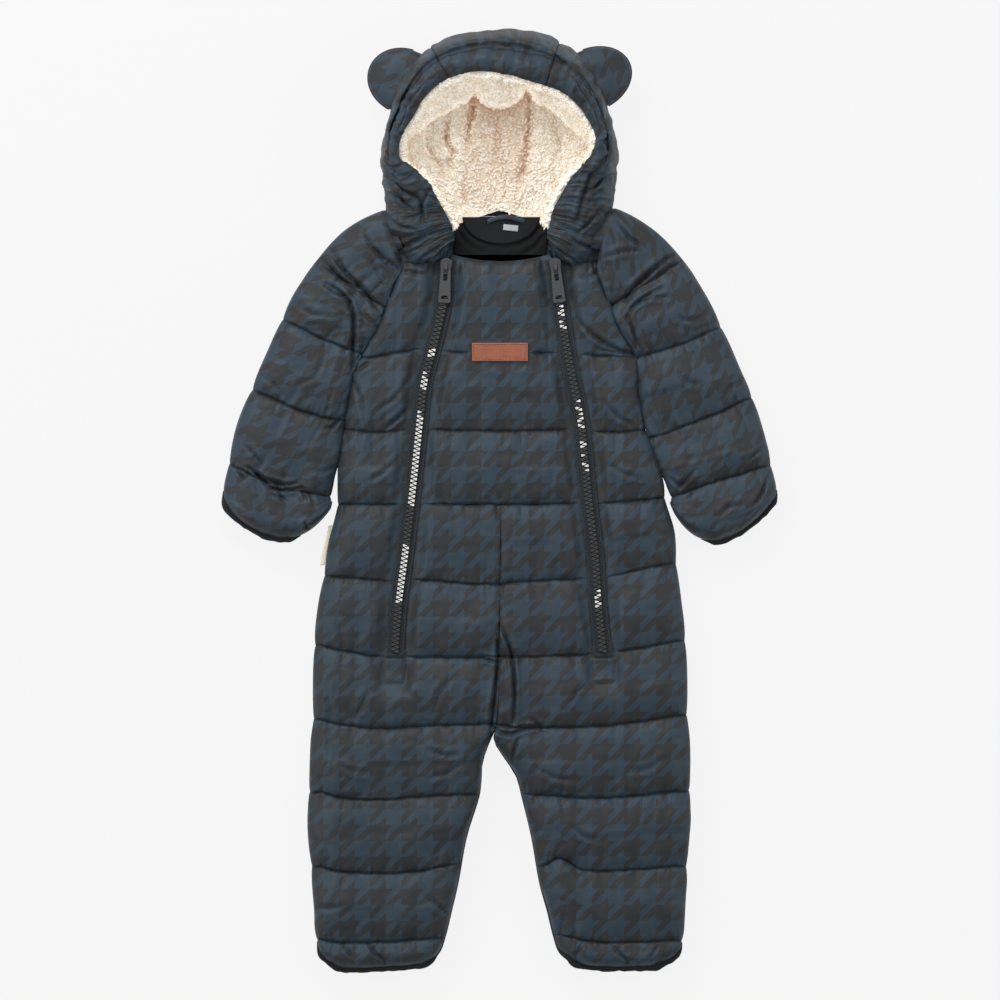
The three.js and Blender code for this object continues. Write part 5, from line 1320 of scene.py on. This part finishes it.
def locks(name, spots, seed):
    """Short locks of pile lying on a surface; spots are points with their normals."""
    rng = np.random.default_rng(seed)
    count = len(spots)
    base, normal = spots[:, 0], spots[:, 1]
    lean = np.where(np.abs(normal[:, 2:3]) > 0.9, [[0, -1.0, 0]], [[0, 0, -1.0]])
    t1 = lean - (lean * normal).sum(1, keepdims=True) * normal
    t1 /= np.linalg.norm(t1, axis=1, keepdims=True)
    t2 = np.cross(normal, t1)
    swirl = 2.4 * lumps(base[:, 0], base[:, 1], 8, seed) + rng.normal(0, 0.7, count)
    ahead = np.cos(swirl)[:, None] * t1 + np.sin(swirl)[:, None] * t2
    aside = np.cross(normal, ahead)
    steps, sides = 5, 4
    k = np.linspace(0, 1, steps)
    length = rng.uniform(2.6, 4.6, count)[:, None]
    bend = rng.uniform(-1.5, 1.5, count)[:, None]
    height = rng.uniform(0.5, 1.4, count)[:, None]
    along = length * k[None, :]
    out = bend * k[None, :] ** 2
    up = height * np.sin(np.pi * (0.1 + 0.75 * k[None, :])) - 0.45
    line = (base[:, None] + along[..., None] * ahead[:, None] + out[..., None] * aside[:, None]
            + up[..., None] * normal[:, None])
    belly = 0.55 + 0.75 * np.sin(np.pi * (0.12 + 0.78 * k))
    wide = rng.uniform(0.75, 1.15, count)[:, None] * belly[None, :]
    wide = wide * np.where(k > 0.9, 0.35, 1.0)[None, :]
    ring = 2 * np.pi * np.arange(sides) / sides
    points = (line[:, :, None]
              + wide[:, :, None, None] * np.cos(ring)[None, None, :, None] * aside[:, None, None]
              + 0.62 * wide[:, :, None, None] * np.sin(ring)[None, None, :, None] * normal[:, None, None])
    points = points.reshape(-1, 3)
    one = grid_faces(steps, sides, closed=True)
    ends = np.array([[3, 2, 1, 0], np.arange(4) + (steps - 1) * sides])
    offset = (np.arange(count) * steps * sides)[:, None, None]
    faces = (np.concatenate([one, ends])[None] + offset).reshape(-1, 4)
    # u carries painted shade and v the strength of the painted glow
    shade = np.repeat(pile_shade(base[:, 0], base[:, 1]), steps * sides)
    steep = np.repeat(steepness(normal), steps * sides)
    return new_mesh(name, points, faces.tolist(), np.stack([shade, steep], -1), material=LOCKS, slot="pile")


def scatter_on(grid, spacing, seed):
    """Points and normals spread evenly over a grid surface."""
    rng = np.random.default_rng(seed)
    n = normals(grid)
    if n[..., 2].mean() < 0:
        n = -n
    a, b, c, d = grid[:-1, :-1], grid[:-1, 1:], grid[1:, 1:], grid[1:, :-1]
    area = np.linalg.norm(np.cross(c - a, d - b), axis=-1) / 2
    up = n[:-1, :-1, 2]
    want = area / spacing**2 * (0.3 + 0.7 * smooth(up * 1.6 + 0.3))
    number = np.floor(want + rng.random(want.shape)).astype(int)
    r, col = np.nonzero(number)
    times = number[r, col]
    r, col = np.repeat(r, times), np.repeat(col, times)
    s, t = rng.random(len(r))[:, None], rng.random(len(r))[:, None]
    place = (a[r, col] * (1 - s) * (1 - t) + b[r, col] * (1 - s) * t
             + c[r, col] * s * t + d[r, col] * s * (1 - t))
    return np.stack([place, n[r, col]], 1)


def rim_spots(first, last, seed):
    """Roots of the locks that cover the lining's edge along the brim."""
    rng = np.random.default_rng(seed)
    count = int((last - first) * STATION_LENGTH * 1.5)
    at = np.sort(rng.uniform(first, last, count))
    shell = hood_surface(at, np.array([9.0]), 1)[:, 0]
    edge = hood_surface(at, np.array([9.0]), 2)[:, 0]
    place = mix(shell, edge, rng.uniform(0.1, 1.05, count)[:, None])
    inward = edge - shell
    normal = inward / np.linalg.norm(inward, axis=1, keepdims=True) * 0.55 + np.array([0, 0, 0.84])
    return np.stack([place, normal / np.linalg.norm(normal, axis=1, keepdims=True)], 1)


def lining(name, first, last, node, seed):
    stations, wall, floor = pile_wall(first, last)
    face = np.concatenate([wall, floor], 1)
    face[:, :wall.shape[1], 2] = np.maximum(face[:, :wall.shape[1], 2], 14.6)
    n = normals(face)
    if n[:, -10:, 2].mean() < 0:
        n = -n
    x, y = face[..., 0], face[..., 1]
    bump = pile_relief(x, y)
    across = np.linspace(0, 1, face.shape[1])[None, :]
    face = face + n * (bump * smooth(across / 0.1) * smooth((1 - across) / 0.04))[..., None]
    low_y = NECK_Y + 0.6
    face[..., 2] = np.where(face[..., 1] < low_y, np.maximum(face[..., 2], BACK_THICK + 2.0), face[..., 2])
    back_wall = hood_surface(stations, np.linspace(9, 0.6, 30), 1)
    back_floor = floor.copy()
    back_floor[..., 2] = HOOD_SHELL + 0.4
    back = np.concatenate([back_wall, back_floor], 1)
    back[..., 2] = np.where(back[..., 1] < low_y, np.maximum(back[..., 2], BACK_THICK + 0.6), back[..., 2])
    back[..., 2] = np.minimum(back[..., 2], face[..., 2] - 0.4 * (back[..., 2] < 25))
    # u carries painted shade and v the strength of the painted glow
    shade = pile_shade(x, y)
    piece = two_walls(name, face, back, np.stack([shade, steepness(n)], -1), material=PILE, slot="pile")
    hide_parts(node)
    return piece, face


def ear(side, seed):
    """A padded ear with a seam round its edge, fixed to the hood's wall."""
    spec = EARS[side]
    axis = np.array(spec["outward"] + (0.0,))
    axis /= np.linalg.norm(axis)
    across = np.array([-axis[1], axis[0], 0.0])
    up = np.array([0.0, 0.0, 1.0])
    rings, around = 34, 72
    t = np.linspace(0, 1, rings)
    p = mix(-9.0, spec["reach"], np.sin(t * np.pi / 2) ** 0.9)
    share = np.clip(p / spec["reach"], 0, 1)
    half = spec["half"] * np.sqrt(np.maximum(1 - share**2, 0.0))
    half = np.maximum(half, 0.4)
    thick = EAR_HALF_THICK * np.maximum(1 - share**2.4, 0.0) ** 0.55 + 0.3
    turn = 2 * np.pi * np.arange(around) / around
    c, s = np.cos(turn)[None, :], np.sin(turn)[None, :]
    q = half[:, None] * np.sign(c) * np.abs(c) ** 0.9
    edge = np.abs(c) ** 6
    h = thick[:, None] * np.sign(s) * np.abs(s) ** 0.8
    pp = np.broadcast_to(p[:, None], q.shape)
    folds = 1.2 * wander(q, 8, seed) * np.exp(-np.maximum(pp, 0) / 14) + 0.7 * lumps(pp, q, 12, seed + 1)
    rim_gathers = 0.5 * wander(np.arctan2(q, pp + 12) * 40, 5, seed + 2)
    h = h + np.sign(s) * np.abs(s) * (folds + rim_gathers * edge)
    dip = -1.6 * np.exp(-((pp - 6) / 9) ** 2 - (q / 9) ** 2)
    h = h + np.where(s > 0, dip, 0)
    droop = -math.sin(EAR_DROOP) * pp
    place = np.array([spec["x"], spec["y"], EAR_Z])
    points = place + pp[..., None] * axis + q[..., None] * across + (h + droop)[..., None] * up
    uv = np.stack([q / PRINT_REPEAT + 0.1, pp / PRINT_REPEAT + 0.35], -1).reshape(-1, 2)
    piece = bar(f"ear_{side}_cloth", points, uv=uv, material=SHELL, slot="shell")
    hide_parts(f"ear_front_{side}", f"ear_back_{side}")
    welt = []
    for k in np.linspace(0.03, 0.97, 60):
        a = math.pi * k - math.pi / 2
        r = np.array([spec["reach"] * math.cos(a), spec["half"] * math.sin(a)])
        centre = place + axis * r[0] + across * r[1] + up * (-math.sin(EAR_DROOP) * r[0])
        n = axis * math.cos(a) + across * math.sin(a)
        welt.append((centre + n * 0.2, n))
    circle = [(0.7 * math.cos(a), 0.7 * math.sin(a)) for a in np.linspace(0, 2 * math.pi, 9)[:-1]]
    sweep(f"ear_welt_{side}", welt, circle, material=SHELL_PLAIN, slot="shell")
    return piece


# Section of a folded binding: (outwards, up) from the cloth's edge
BINDING_SECTION = [
    (-2.5, -5.5), (1.8, -5.9), (3.0, -4.6), (3.4, -2.4), (2.9, -0.5), (1.6, 0.0),
    (2.9, 0.5), (3.4, 2.6), (3.0, 4.9), (1.8, 6.2), (-2.5, 5.8),
]


def binding(name, edge, node, seed):
    """Narrow binding round a cloth edge: a rounded bar with a pressed slit, gathers and tapered ends."""
    edge = np.asarray(edge, float)
    run = np.concatenate([[0], np.cumsum(np.hypot(*np.diff(edge, axis=0).T))])
    at = np.linspace(0, run[-1], 120)
    px, py = np.interp(at, run, edge[:, 0]), np.interp(at, run, edge[:, 1])
    kernel = np.ones(5) / 5
    px[2:-2], py[2:-2] = np.convolve(px, kernel, "valid"), np.convolve(py, kernel, "valid")
    dx, dy = np.gradient(px), np.gradient(py)
    size = np.hypot(dx, dy)
    nx, ny = dy / size, -dx / size
    middle = len(px) // 2
    chord_x, chord_y = px[0] + px[-1] - 2 * px[middle], py[0] + py[-1] - 2 * py[middle]
    if nx[middle] * chord_x + ny[middle] * chord_y > 0:
        nx, ny = -nx, -ny
    z_mid = BACK_THICK + SEAM_GAP
    points = []
    for i, u in enumerate(at):
        taper = float(smooth(u / BINDING_TAPER) * smooth((at[-1] - u) / BINDING_TAPER))
        swell = 1 + 0.16 * wander(u, 4.5, seed) + 0.1 * wander(u, 11, seed + 1)
        lift = 0.5 * wander(u, 7, seed + 2)
        row = []
        for s, z in BINDING_SECTION:
            side = s * swell * mix(0.2, 1, taper) if s > 0 else s * mix(0.4, 1, taper)
            height = z_mid + z * mix(0.25, 1, taper) + lift * (z > 3)
            row.append((px[i] + nx[i] * side, py[i] + ny[i] * side, height))
        points.append(row)
    piece = bar(name, points, material=BINDING, slot="binding")
    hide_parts(node)
    return piece


def hem_edge(top):
    """Plan of a leg's hem, from the side seam round the bottom to the inside seam."""
    outside = top[-24:, -1, :2]
    return np.concatenate([outside, top[-1, ::-1, :2][1:], top[-14:, 0, :2][::-1][1:]])


def cuff_edge(side):
    """Plan of a cuff, from the outer edge to two thirds across."""
    lines = np.linspace(CUFF_LINE - 0.34, CUFF_LINE, 12)
    outer = [sleeve_place(side, np.array(n), np.array(0.0)) for n in lines]
    across = [sleeve_place(side, np.array(CUFF_LINE), np.array(a)) for a in np.linspace(0.0, 0.66, 60)[1:]]
    return np.array(outer + across, float)


def dashes(name, line, length, gap, radius, material, slot, sunk=0.1):
    """Stitches along a line of points in millimetres."""
    line = np.array(line, float)
    steps = np.linalg.norm(np.diff(line, axis=0), axis=1)
    run = np.concatenate([[0], np.cumsum(steps)])
    points, faces = [], []
    at = gap
    while at + length < run[-1]:
        ends = [np.array([np.interp(at + d, run, line[:, k]) for k in range(3)])
                for d in (0, length * 0.5, length)]
        along = ends[2] - ends[0]
        along /= np.linalg.norm(along)
        side = np.cross(along, [0, 0, 1.0])
        side /= max(np.linalg.norm(side), 1e-9)
        up = np.cross(side, along)
        start = len(points)
        for centre, swell, lift in zip(ends, (0.55, 1.0, 0.55), (-sunk, radius * 0.6, -sunk)):
            for k in range(6):
                a = 2 * math.pi * k / 6
                points.append(centre + up * lift + radius * swell * (math.cos(a) * side + math.sin(a) * up))
        for r in range(2):
            for k in range(6):
                faces.append((start + r * 6 + k, start + r * 6 + (k + 1) % 6,
                              start + (r + 1) * 6 + (k + 1) % 6, start + (r + 1) * 6 + k))
        faces.append(tuple(start + k for k in range(6))[::-1])
        faces.append(tuple(start + 12 + k for k in range(6)))
        at += length + gap
    return new_mesh(name, points, faces, None, material=material, slot=slot)


# Zips
def zip_tape(side):
    """Woven tape with a raised cord along each edge of the chain and a stitched line."""
    y = np.linspace(ZIP_TOP_Y, ZIP_END_Y, 260)
    shares = np.linspace(-0.5, 0.5, 25)
    x = zip_line[side](y)[:, None] + shares[None, :] * TAPE_WIDTH
    across = np.abs(shares[None, :] * TAPE_WIDTH)
    z = TAPE_TOP - 0.25 * smooth((across - 6.6) / 0.8) + 0.18 * np.cos(across * 2 * np.pi / 1.25)
    z = z + 0.12 * wander(y, 5, 3)[:, None] * np.ones_like(z)
    z = z - 0.35 * np.exp(-(((across - 5.4) / 0.35) ** 2))
    yy = np.broadcast_to(y[:, None], x.shape)
    return small_piece(f"zip_tape_{side}_cloth", (x, yy, z), TAPE_LOW, (TAPE, "zip_tape"), f"zip_tape_{side}")


# Outline of a tooth in plan: a square root and a narrow head across the chain's middle
TOOTH_OUTLINE = [
    (-3.3, -1.45), (-1.9, -1.5), (-0.2, -0.75), (1.15, -0.55), (1.5, 0.0),
    (1.15, 0.55), (-0.2, 0.75), (-1.9, 1.5), (-3.3, 1.45),
]


def zip_teeth(side, seed):
    """Two rows of interlocked moulded dark teeth; on some stretches their top faces get a bright material as
    painted glints of reflected light.
    """
    rng = np.random.default_rng(seed)
    top = SLIDER_Y - 7.6
    count = int((top - ZIP_END_Y - 3) / TOOTH_STEP)
    points, faces, glint_index = [], [], []
    n = len(TOOTH_OUTLINE)
    for i in range(count):
        y = top - TOOTH_STEP * (i + 0.5)
        x = float(zip_line[side](y))
        slope = float(zip_line[side](y + 2) - zip_line[side](y - 2)) / 4
        sign = 1 if i % 2 else -1
        tilt = rng.uniform(-0.15, 0.15)
        start = len(points)
        for z, grow in ((CHAIN_LOW, 1.0), (CHAIN_LOW + 1.7, 1.0), (CHAIN_LOW + 2.4, 0.7)):
            for px, py in TOOTH_OUTLINE:
                qx = sign * (mix(-0.9, px, grow))
                qy = py * grow
                rise = (tilt * qy - 0.12 * (sign * qx + 1)) * (z > CHAIN_LOW + 2)
                points.append((x + qx + slope * qy, y + qy - slope * qx, z + rise))
        for r in range(2):
            for k in range(n):
                faces.append((start + r * n + k, start + r * n + (k + 1) % n,
                              start + (r + 1) * n + (k + 1) % n, start + (r + 1) * n + k))
        faces.append(tuple(start + k for k in range(n))[::-1])
        faces.append(tuple(start + 2 * n + k for k in range(n)))
        # painted glints, most likely towards the middle of each stretch
        inside = max((min(high - y, y - low) for high, low in GLINT_STRETCHES[side]), default=-9)
        glinting = rng.random() < clamp01(0.5 + inside / 6) * GLINT_SHARE[side]
        glint_index += [0] * (2 * n + 1) + [1 if glinting else 0]
    piece = new_mesh(f"zip_teeth_{side}", points, faces, None, material=TEETH, slot="zip_teeth", flat=True)
    piece.data.materials.append(TEETH_GLINT)
    piece.data.polygons.foreach_set("material_index", glint_index)
    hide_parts(f"zip_chain_{side}")
    return piece


# Neck
FACING_CREASES = [
    (2.4, 2.5, [(-34, 238), (-24, 226), (-8, 217)]),
    (2.0, 2.2, [(-36, 228), (-26, 216), (-14, 210)]),
    (2.4, 2.5, [(38, 236), (28, 224), (14, 215)]),
    (2.0, 2.2, [(38, 226), (30, 215), (18, 208)]),
    (1.6, 2.2, [(-12, 222), (2, 214), (16, 218)]),
]


def neck_pieces():
    y = np.linspace(199, NECK_Y - 0.5, 36)
    shares = np.linspace(0, 1, 60)
    left_x = np.interp(y, [197, 214, 231, 237, NECK_Y], [-37, -39.5, -37.5, -36, -27])
    right_x = np.interp(y, [197, 214, 231, 237, NECK_Y], [37, 40, 40.5, 40, 31])
    x = left_x[:, None] + (right_x - left_x)[:, None] * shares[None, :]
    yy = np.broadcast_to(y[:, None], x.shape)
    z = BACK_THICK + 1.2 + 0.5 * lumps(x, yy, 13, 8) + 0.5 * crease(x, yy, FACING_CREASES)
    z = np.maximum(z, BACK_THICK + 0.6)
    facing = small_piece("neck_facing_cloth", (x, yy, z), BACK_THICK + 0.3, (FACING, "facing"), "neck_facing")
    # half-moon patch with a raised welt round its curve
    turn = np.linspace(math.pi, 2 * math.pi, 48)
    rings = np.linspace(0.02, 1, 20)
    mx = 1 + 33 * np.cos(turn)[:, None] * rings[None, :]
    my = 240.5 + 23 * np.sin(turn)[:, None] * rings[None, :]
    mz = BACK_THICK + 2.9 + 0.35 * lumps(mx, my, 11, 12) - 0.5 * smooth((rings[None, :] - 0.93) / 0.06)
    mz = mz + 0.55 * np.exp(-(((rings[None, :] - 0.955) / 0.022) ** 2))
    moon = small_piece("neck_half_moon_cloth", (mx, my, mz), BACK_THICK + 1.9, (MOON, "facing"),
                       "neck_half_moon")
    # loop for hanging the suit up
    t = np.linspace(0, 1, 30)
    w = np.linspace(0, 1, 9)
    lx = mix(-11, 21, t)[:, None] + 0 * w[None, :]
    ly = (234.6 + 4 * np.sin(np.pi * t))[:, None] + 4 * w[None, :]
    lz = BACK_THICK + 3.3 + 1.6 * np.sin(np.pi * t)[:, None] ** 0.6 + 0.5 * np.sin(np.pi * w)[None, :]
    small_piece("hanger_loop_cloth", (lx, ly, lz), BACK_THICK + 3.1, CLOTH, "hanger_loop", PRINT_REPEAT)
    s, r = np.meshgrid(np.linspace(0, 1, 14), np.linspace(0, 1, 8), indexing="ij")
    bx = mix(2.5, 15.2, s) + 0.5 * r
    by = mix(229.5, 228.2, s) + 5 * r
    bz = BACK_THICK + 3.6 + 0.25 * np.sin(s * 5)
    small_piece("size_label_cloth", (bx, by, bz), BACK_THICK + 3.15, (WHITE, "white_label"), "size_label")
    return facing, moon


def side_label():
    y = np.linspace(-21, -55, 40)
    w = np.linspace(0, 1, 7)
    x = (body_edge["right"](y) - SEAM_GAP)[:, None] - (3.6 + 0.5 * np.sin((y + 21) / 6))[:, None] * w[None, :]
    yy = y[:, None] - 0.8 * w[None, :]
    z = FRONT_BASE + 0.5 + 0.15 * np.sin(w * np.pi)[None, :] + 0 * x
    small_piece("side_label_cloth", (x, yy, z), FRONT_BASE - 0.6, (CREAM, "cream_label"), "side_label")


def leather_patch():
    half_x, half_y = PATCH_WIDTH / 2, PATCH_HEIGHT / 2
    x, y = np.meshgrid(np.linspace(-half_x, half_x, 150), np.linspace(-half_y, half_y, 60), indexing="xy")
    edge = np.minimum(half_x - np.abs(x), half_y - np.abs(y))
    low = FRONT_BASE + PATCH_PAD + SEAM_GAP
    z = low + PATCH_THICK - 0.5 * np.exp(-edge / 0.35) + 0.12 * lumps(x, y, 9, 2)
    z = z - 0.35 * np.exp(-(((edge - PATCH_SEAM) / 0.35) ** 2))
    frame_in = np.minimum(half_x - 5.3 - np.abs(x), half_y - 3.1 - np.abs(y))
    z = z - 0.45 * np.exp(-((frame_in / 0.3) ** 2))
    yy = y + PATCH_Y
    piece = small_piece("front_patch_leather", (x, yy, z), low, (LEATHER, "leather"), "front_patch")
    ring_x, ring_y = half_x - PATCH_SEAM, half_y - PATCH_SEAM
    ring = [(a * ring_x, b * ring_y) for a, b in ((-1, -1), (1, -1), (1, 1), (-1, 1), (-1, -1))]
    dashes("patch_stitches", [(a, PATCH_Y + b, low + PATCH_THICK - 0.25) for a, b in ring], 1.9, 0.7, 0.26,
           THREAD_TAN, "leather")
    return piece


BODY_LINES = np.concatenate([[-0.24, -0.12], quilt_rows(0.0, float(WAIST_LINE))])
LEG_LINES = np.concatenate([quilt_rows(3.0, 9.0), np.linspace(9.008, END_LINE, 26)])
small = {}
cloths = {"bib_cloth": bib_piece()}
for number, side in enumerate(SIDES):
    name = f"side_front_{side}_cloth"
    cloths[name], _ = front_panel(
        name, side, BODY_LINES, 66, False, f"side_{side}", 11 + number * 13, f"side_front_{side}")
    name = f"leg_front_{side}_cloth"
    cloths[name], leg_top = front_panel(
        name, side, LEG_LINES, 112, True, f"leg_{side}", 15 + number * 17, f"leg_front_{side}")
    cloths[f"back_leg_{side}"] = back_leg(side)
    cloths[f"sleeve_front_{side}"] = sleeve_layer(side, True)
    cloths[f"sleeve_back_{side}"] = sleeve_layer(side, False)
    small[f"ear_{side}"] = ear(side, 101 + number)
    small[f"cuff_binding_{side}"] = binding(
        f"cuff_binding_{side}_cloth", cuff_edge(side), f"cuff_binding_{side}", 111 + number)
    small[f"hem_binding_{side}"] = binding(
        f"hem_binding_{side}_cloth", hem_edge(leg_top), f"hem_binding_{side}", 121 + number)
    small[f"zip_tape_{side}"] = zip_tape(side)
    zip_teeth(side, 131 + number)
cloths["back_body"] = back_body()
back_yoke = yoke()

HOOD_END = len(HOOD_STATIONS) - 1
hood_parts = (
    ("hood_side_right", 0.0, CROWN_SEAMS[0], 201),
    ("hood_crown", CROWN_SEAMS[0], CROWN_SEAMS[1], 211),
    ("hood_side_left", CROWN_SEAMS[1], float(HOOD_END), 221),
)
for node, first, last, seed in hood_parts:
    cloths[node] = hood_panel(f"{node}_cloth", first, last, node, seed)


def hood_back():
    """The shell of the hood's back, which lies on the surface."""
    ring = hood_surface(np.linspace(4, HOOD_END - 4, 60), np.array([0.0]), 0)[:, 0]
    shares = np.linspace(0, 1, 12)
    x, y = (ring[:, None, k] * (1 - shares) + ring[::-1][:, None, k] * shares for k in (0, 1))
    grid = np.stack([x, np.maximum(y, NECK_Y + 0.3), np.full(x.shape, HOOD_SHELL)], -1)[:len(ring) // 2]
    return flat_piece("hood_back_cloth", grid, 0.0, print_uv("back", grid[..., 0], grid[..., 1]), CLOTH, None)


hood_floor = hood_back()

# Pile pieces: side, node, first and last hood station, seed
PILE_PARTS = (
    ("right", "lining_side_right", 3.0, 10.5, 301),
    ("crown", "lining_crown", 10.5, 17.8, 311),
    ("left", "lining_side_left", 17.8, HOOD_END - 3.0, 321),
)
for name, node, first, last, seed in PILE_PARTS:
    cloths[f"pile_{name}"], face = lining(f"pile_{name}", first, last, node, seed)
    spots = scatter_on(face, LOCK_SPACING * (1.0), seed)
    spots = np.concatenate([spots, rim_spots(first, last, seed + 5)])
    ragged = PILE_END_Y + 1.5 * lumps(spots[:, 0, 0], spots[:, 0, 0] * 0, 7, seed)
    spots = spots[(spots[:, 0, 1] > ragged) | (np.abs(spots[:, 0, 0]) > 34)]
    locks(f"pile_{name}_locks", spots, seed + 1)

small["facing"], small["moon"] = neck_pieces()
side_label()
small["patch"] = leather_patch()

# Stitches beside the zips
for side in SIDES:
    for sign in (-1, 1):
        y = np.linspace(ZIP_TOP_Y - 6, ZIP_END_Y + 2, 200)
        x = zip_line[side](y) + sign * 5.4
        path = np.stack([x, y, np.full(200, TAPE_TOP - 0.2)], -1)
        name = f"zip_stitches_{side}_{'in' if sign < 0 else 'out'}"
        dashes(name, path, 2.2, 0.8, 0.2, THREAD, "zip_tape")

# Hard pieces from the solids: softened edges and painted metal
for side in SIDES:
    for node in (f"zip_slider_{side}", f"zip_pull_{side}"):
        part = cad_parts[node]
        part.data.materials.clear()
        part.data.materials.append(PULL_METAL)
        bevel = part.modifiers.new("soft edges", "BEVEL")
        bevel.width = 0.00035
        bevel.segments = 2
        bevel.limit_method = "ANGLE"


# Floor, light and camera, in metres and watts
FLOOR_HALF = 6
FLOOR_LEVEL = -0.0006
FLOOR_GLOW = 0.868
ROOM_LIGHT = 0.36
floor_mesh = bpy.data.meshes.new("floor")
corners = [(a * FLOOR_HALF, b * FLOOR_HALF, FLOOR_LEVEL) for a, b in ((-1, -1), (1, -1), (1, 1), (-1, 1))]
floor_mesh.from_pydata(corners, [], [(0, 1, 2, 3)])
floor = bpy.data.objects.new("floor", floor_mesh)
scene.collection.objects.link(floor)
floor_nodes = Nodes("pale_floor")
floor_nodes.set(Base_Color=(0.05, 0.05, 0.05, 1.0), Roughness=1.0, Specular_IOR_Level=0.0)
floor_nodes.set(Emission_Color=(1, 1, 1, 1), Emission_Strength=FLOOR_GLOW)
floor_mesh.materials.append(floor_nodes.material)

world = bpy.data.worlds.new("studio")
world.use_nodes = True
world.node_tree.nodes["Background"].inputs[0].default_value = (1, 1, 1, 1)
world.node_tree.nodes["Background"].inputs[1].default_value = ROOM_LIGHT
scene.world = world
scene.view_settings.view_transform = "Standard"
scene.view_settings.look = "None"


def area_light(name, place, target, size, watts):
    data = bpy.data.lights.new(name, "AREA")
    data.shape = "RECTANGLE"
    data.size, data.size_y = size
    data.energy = watts
    lamp = bpy.data.objects.new(name, data)
    lamp.location = place
    lamp.rotation_euler = (Vector(target) - Vector(place)).to_track_quat("-Z", "Y").to_euler()
    lamp.visible_camera = False
    scene.collection.objects.link(lamp)
    return lamp


area_light("softbox_head", (-0.5, 1.5, 1.3), (0, 0, 0), (1.2, 0.9), 32)
area_light("softbox_right", (1.5, 0.2, 1.2), (0, 0, 0), (0.8, 1.4), 12)
area_light("softbox_left", (-1.5, -0.2, 1.3), (0, 0, 0), (0.8, 1.4), 15)

LENS = 400.0
SENSOR = 36.0
VIEW_WIDTH = 0.85
FOCUS_HEIGHT = 0.02
camera_data = bpy.data.cameras.new("camera")
camera_data.lens = LENS
camera_data.sensor_width = SENSOR
camera_data.sensor_fit = "HORIZONTAL"
camera_data.clip_end = 100.0
camera = bpy.data.objects.new("camera", camera_data)
camera.location = (0, 0, FOCUS_HEIGHT + VIEW_WIDTH * LENS / SENSOR)
scene.collection.objects.link(camera)
scene.camera = camera
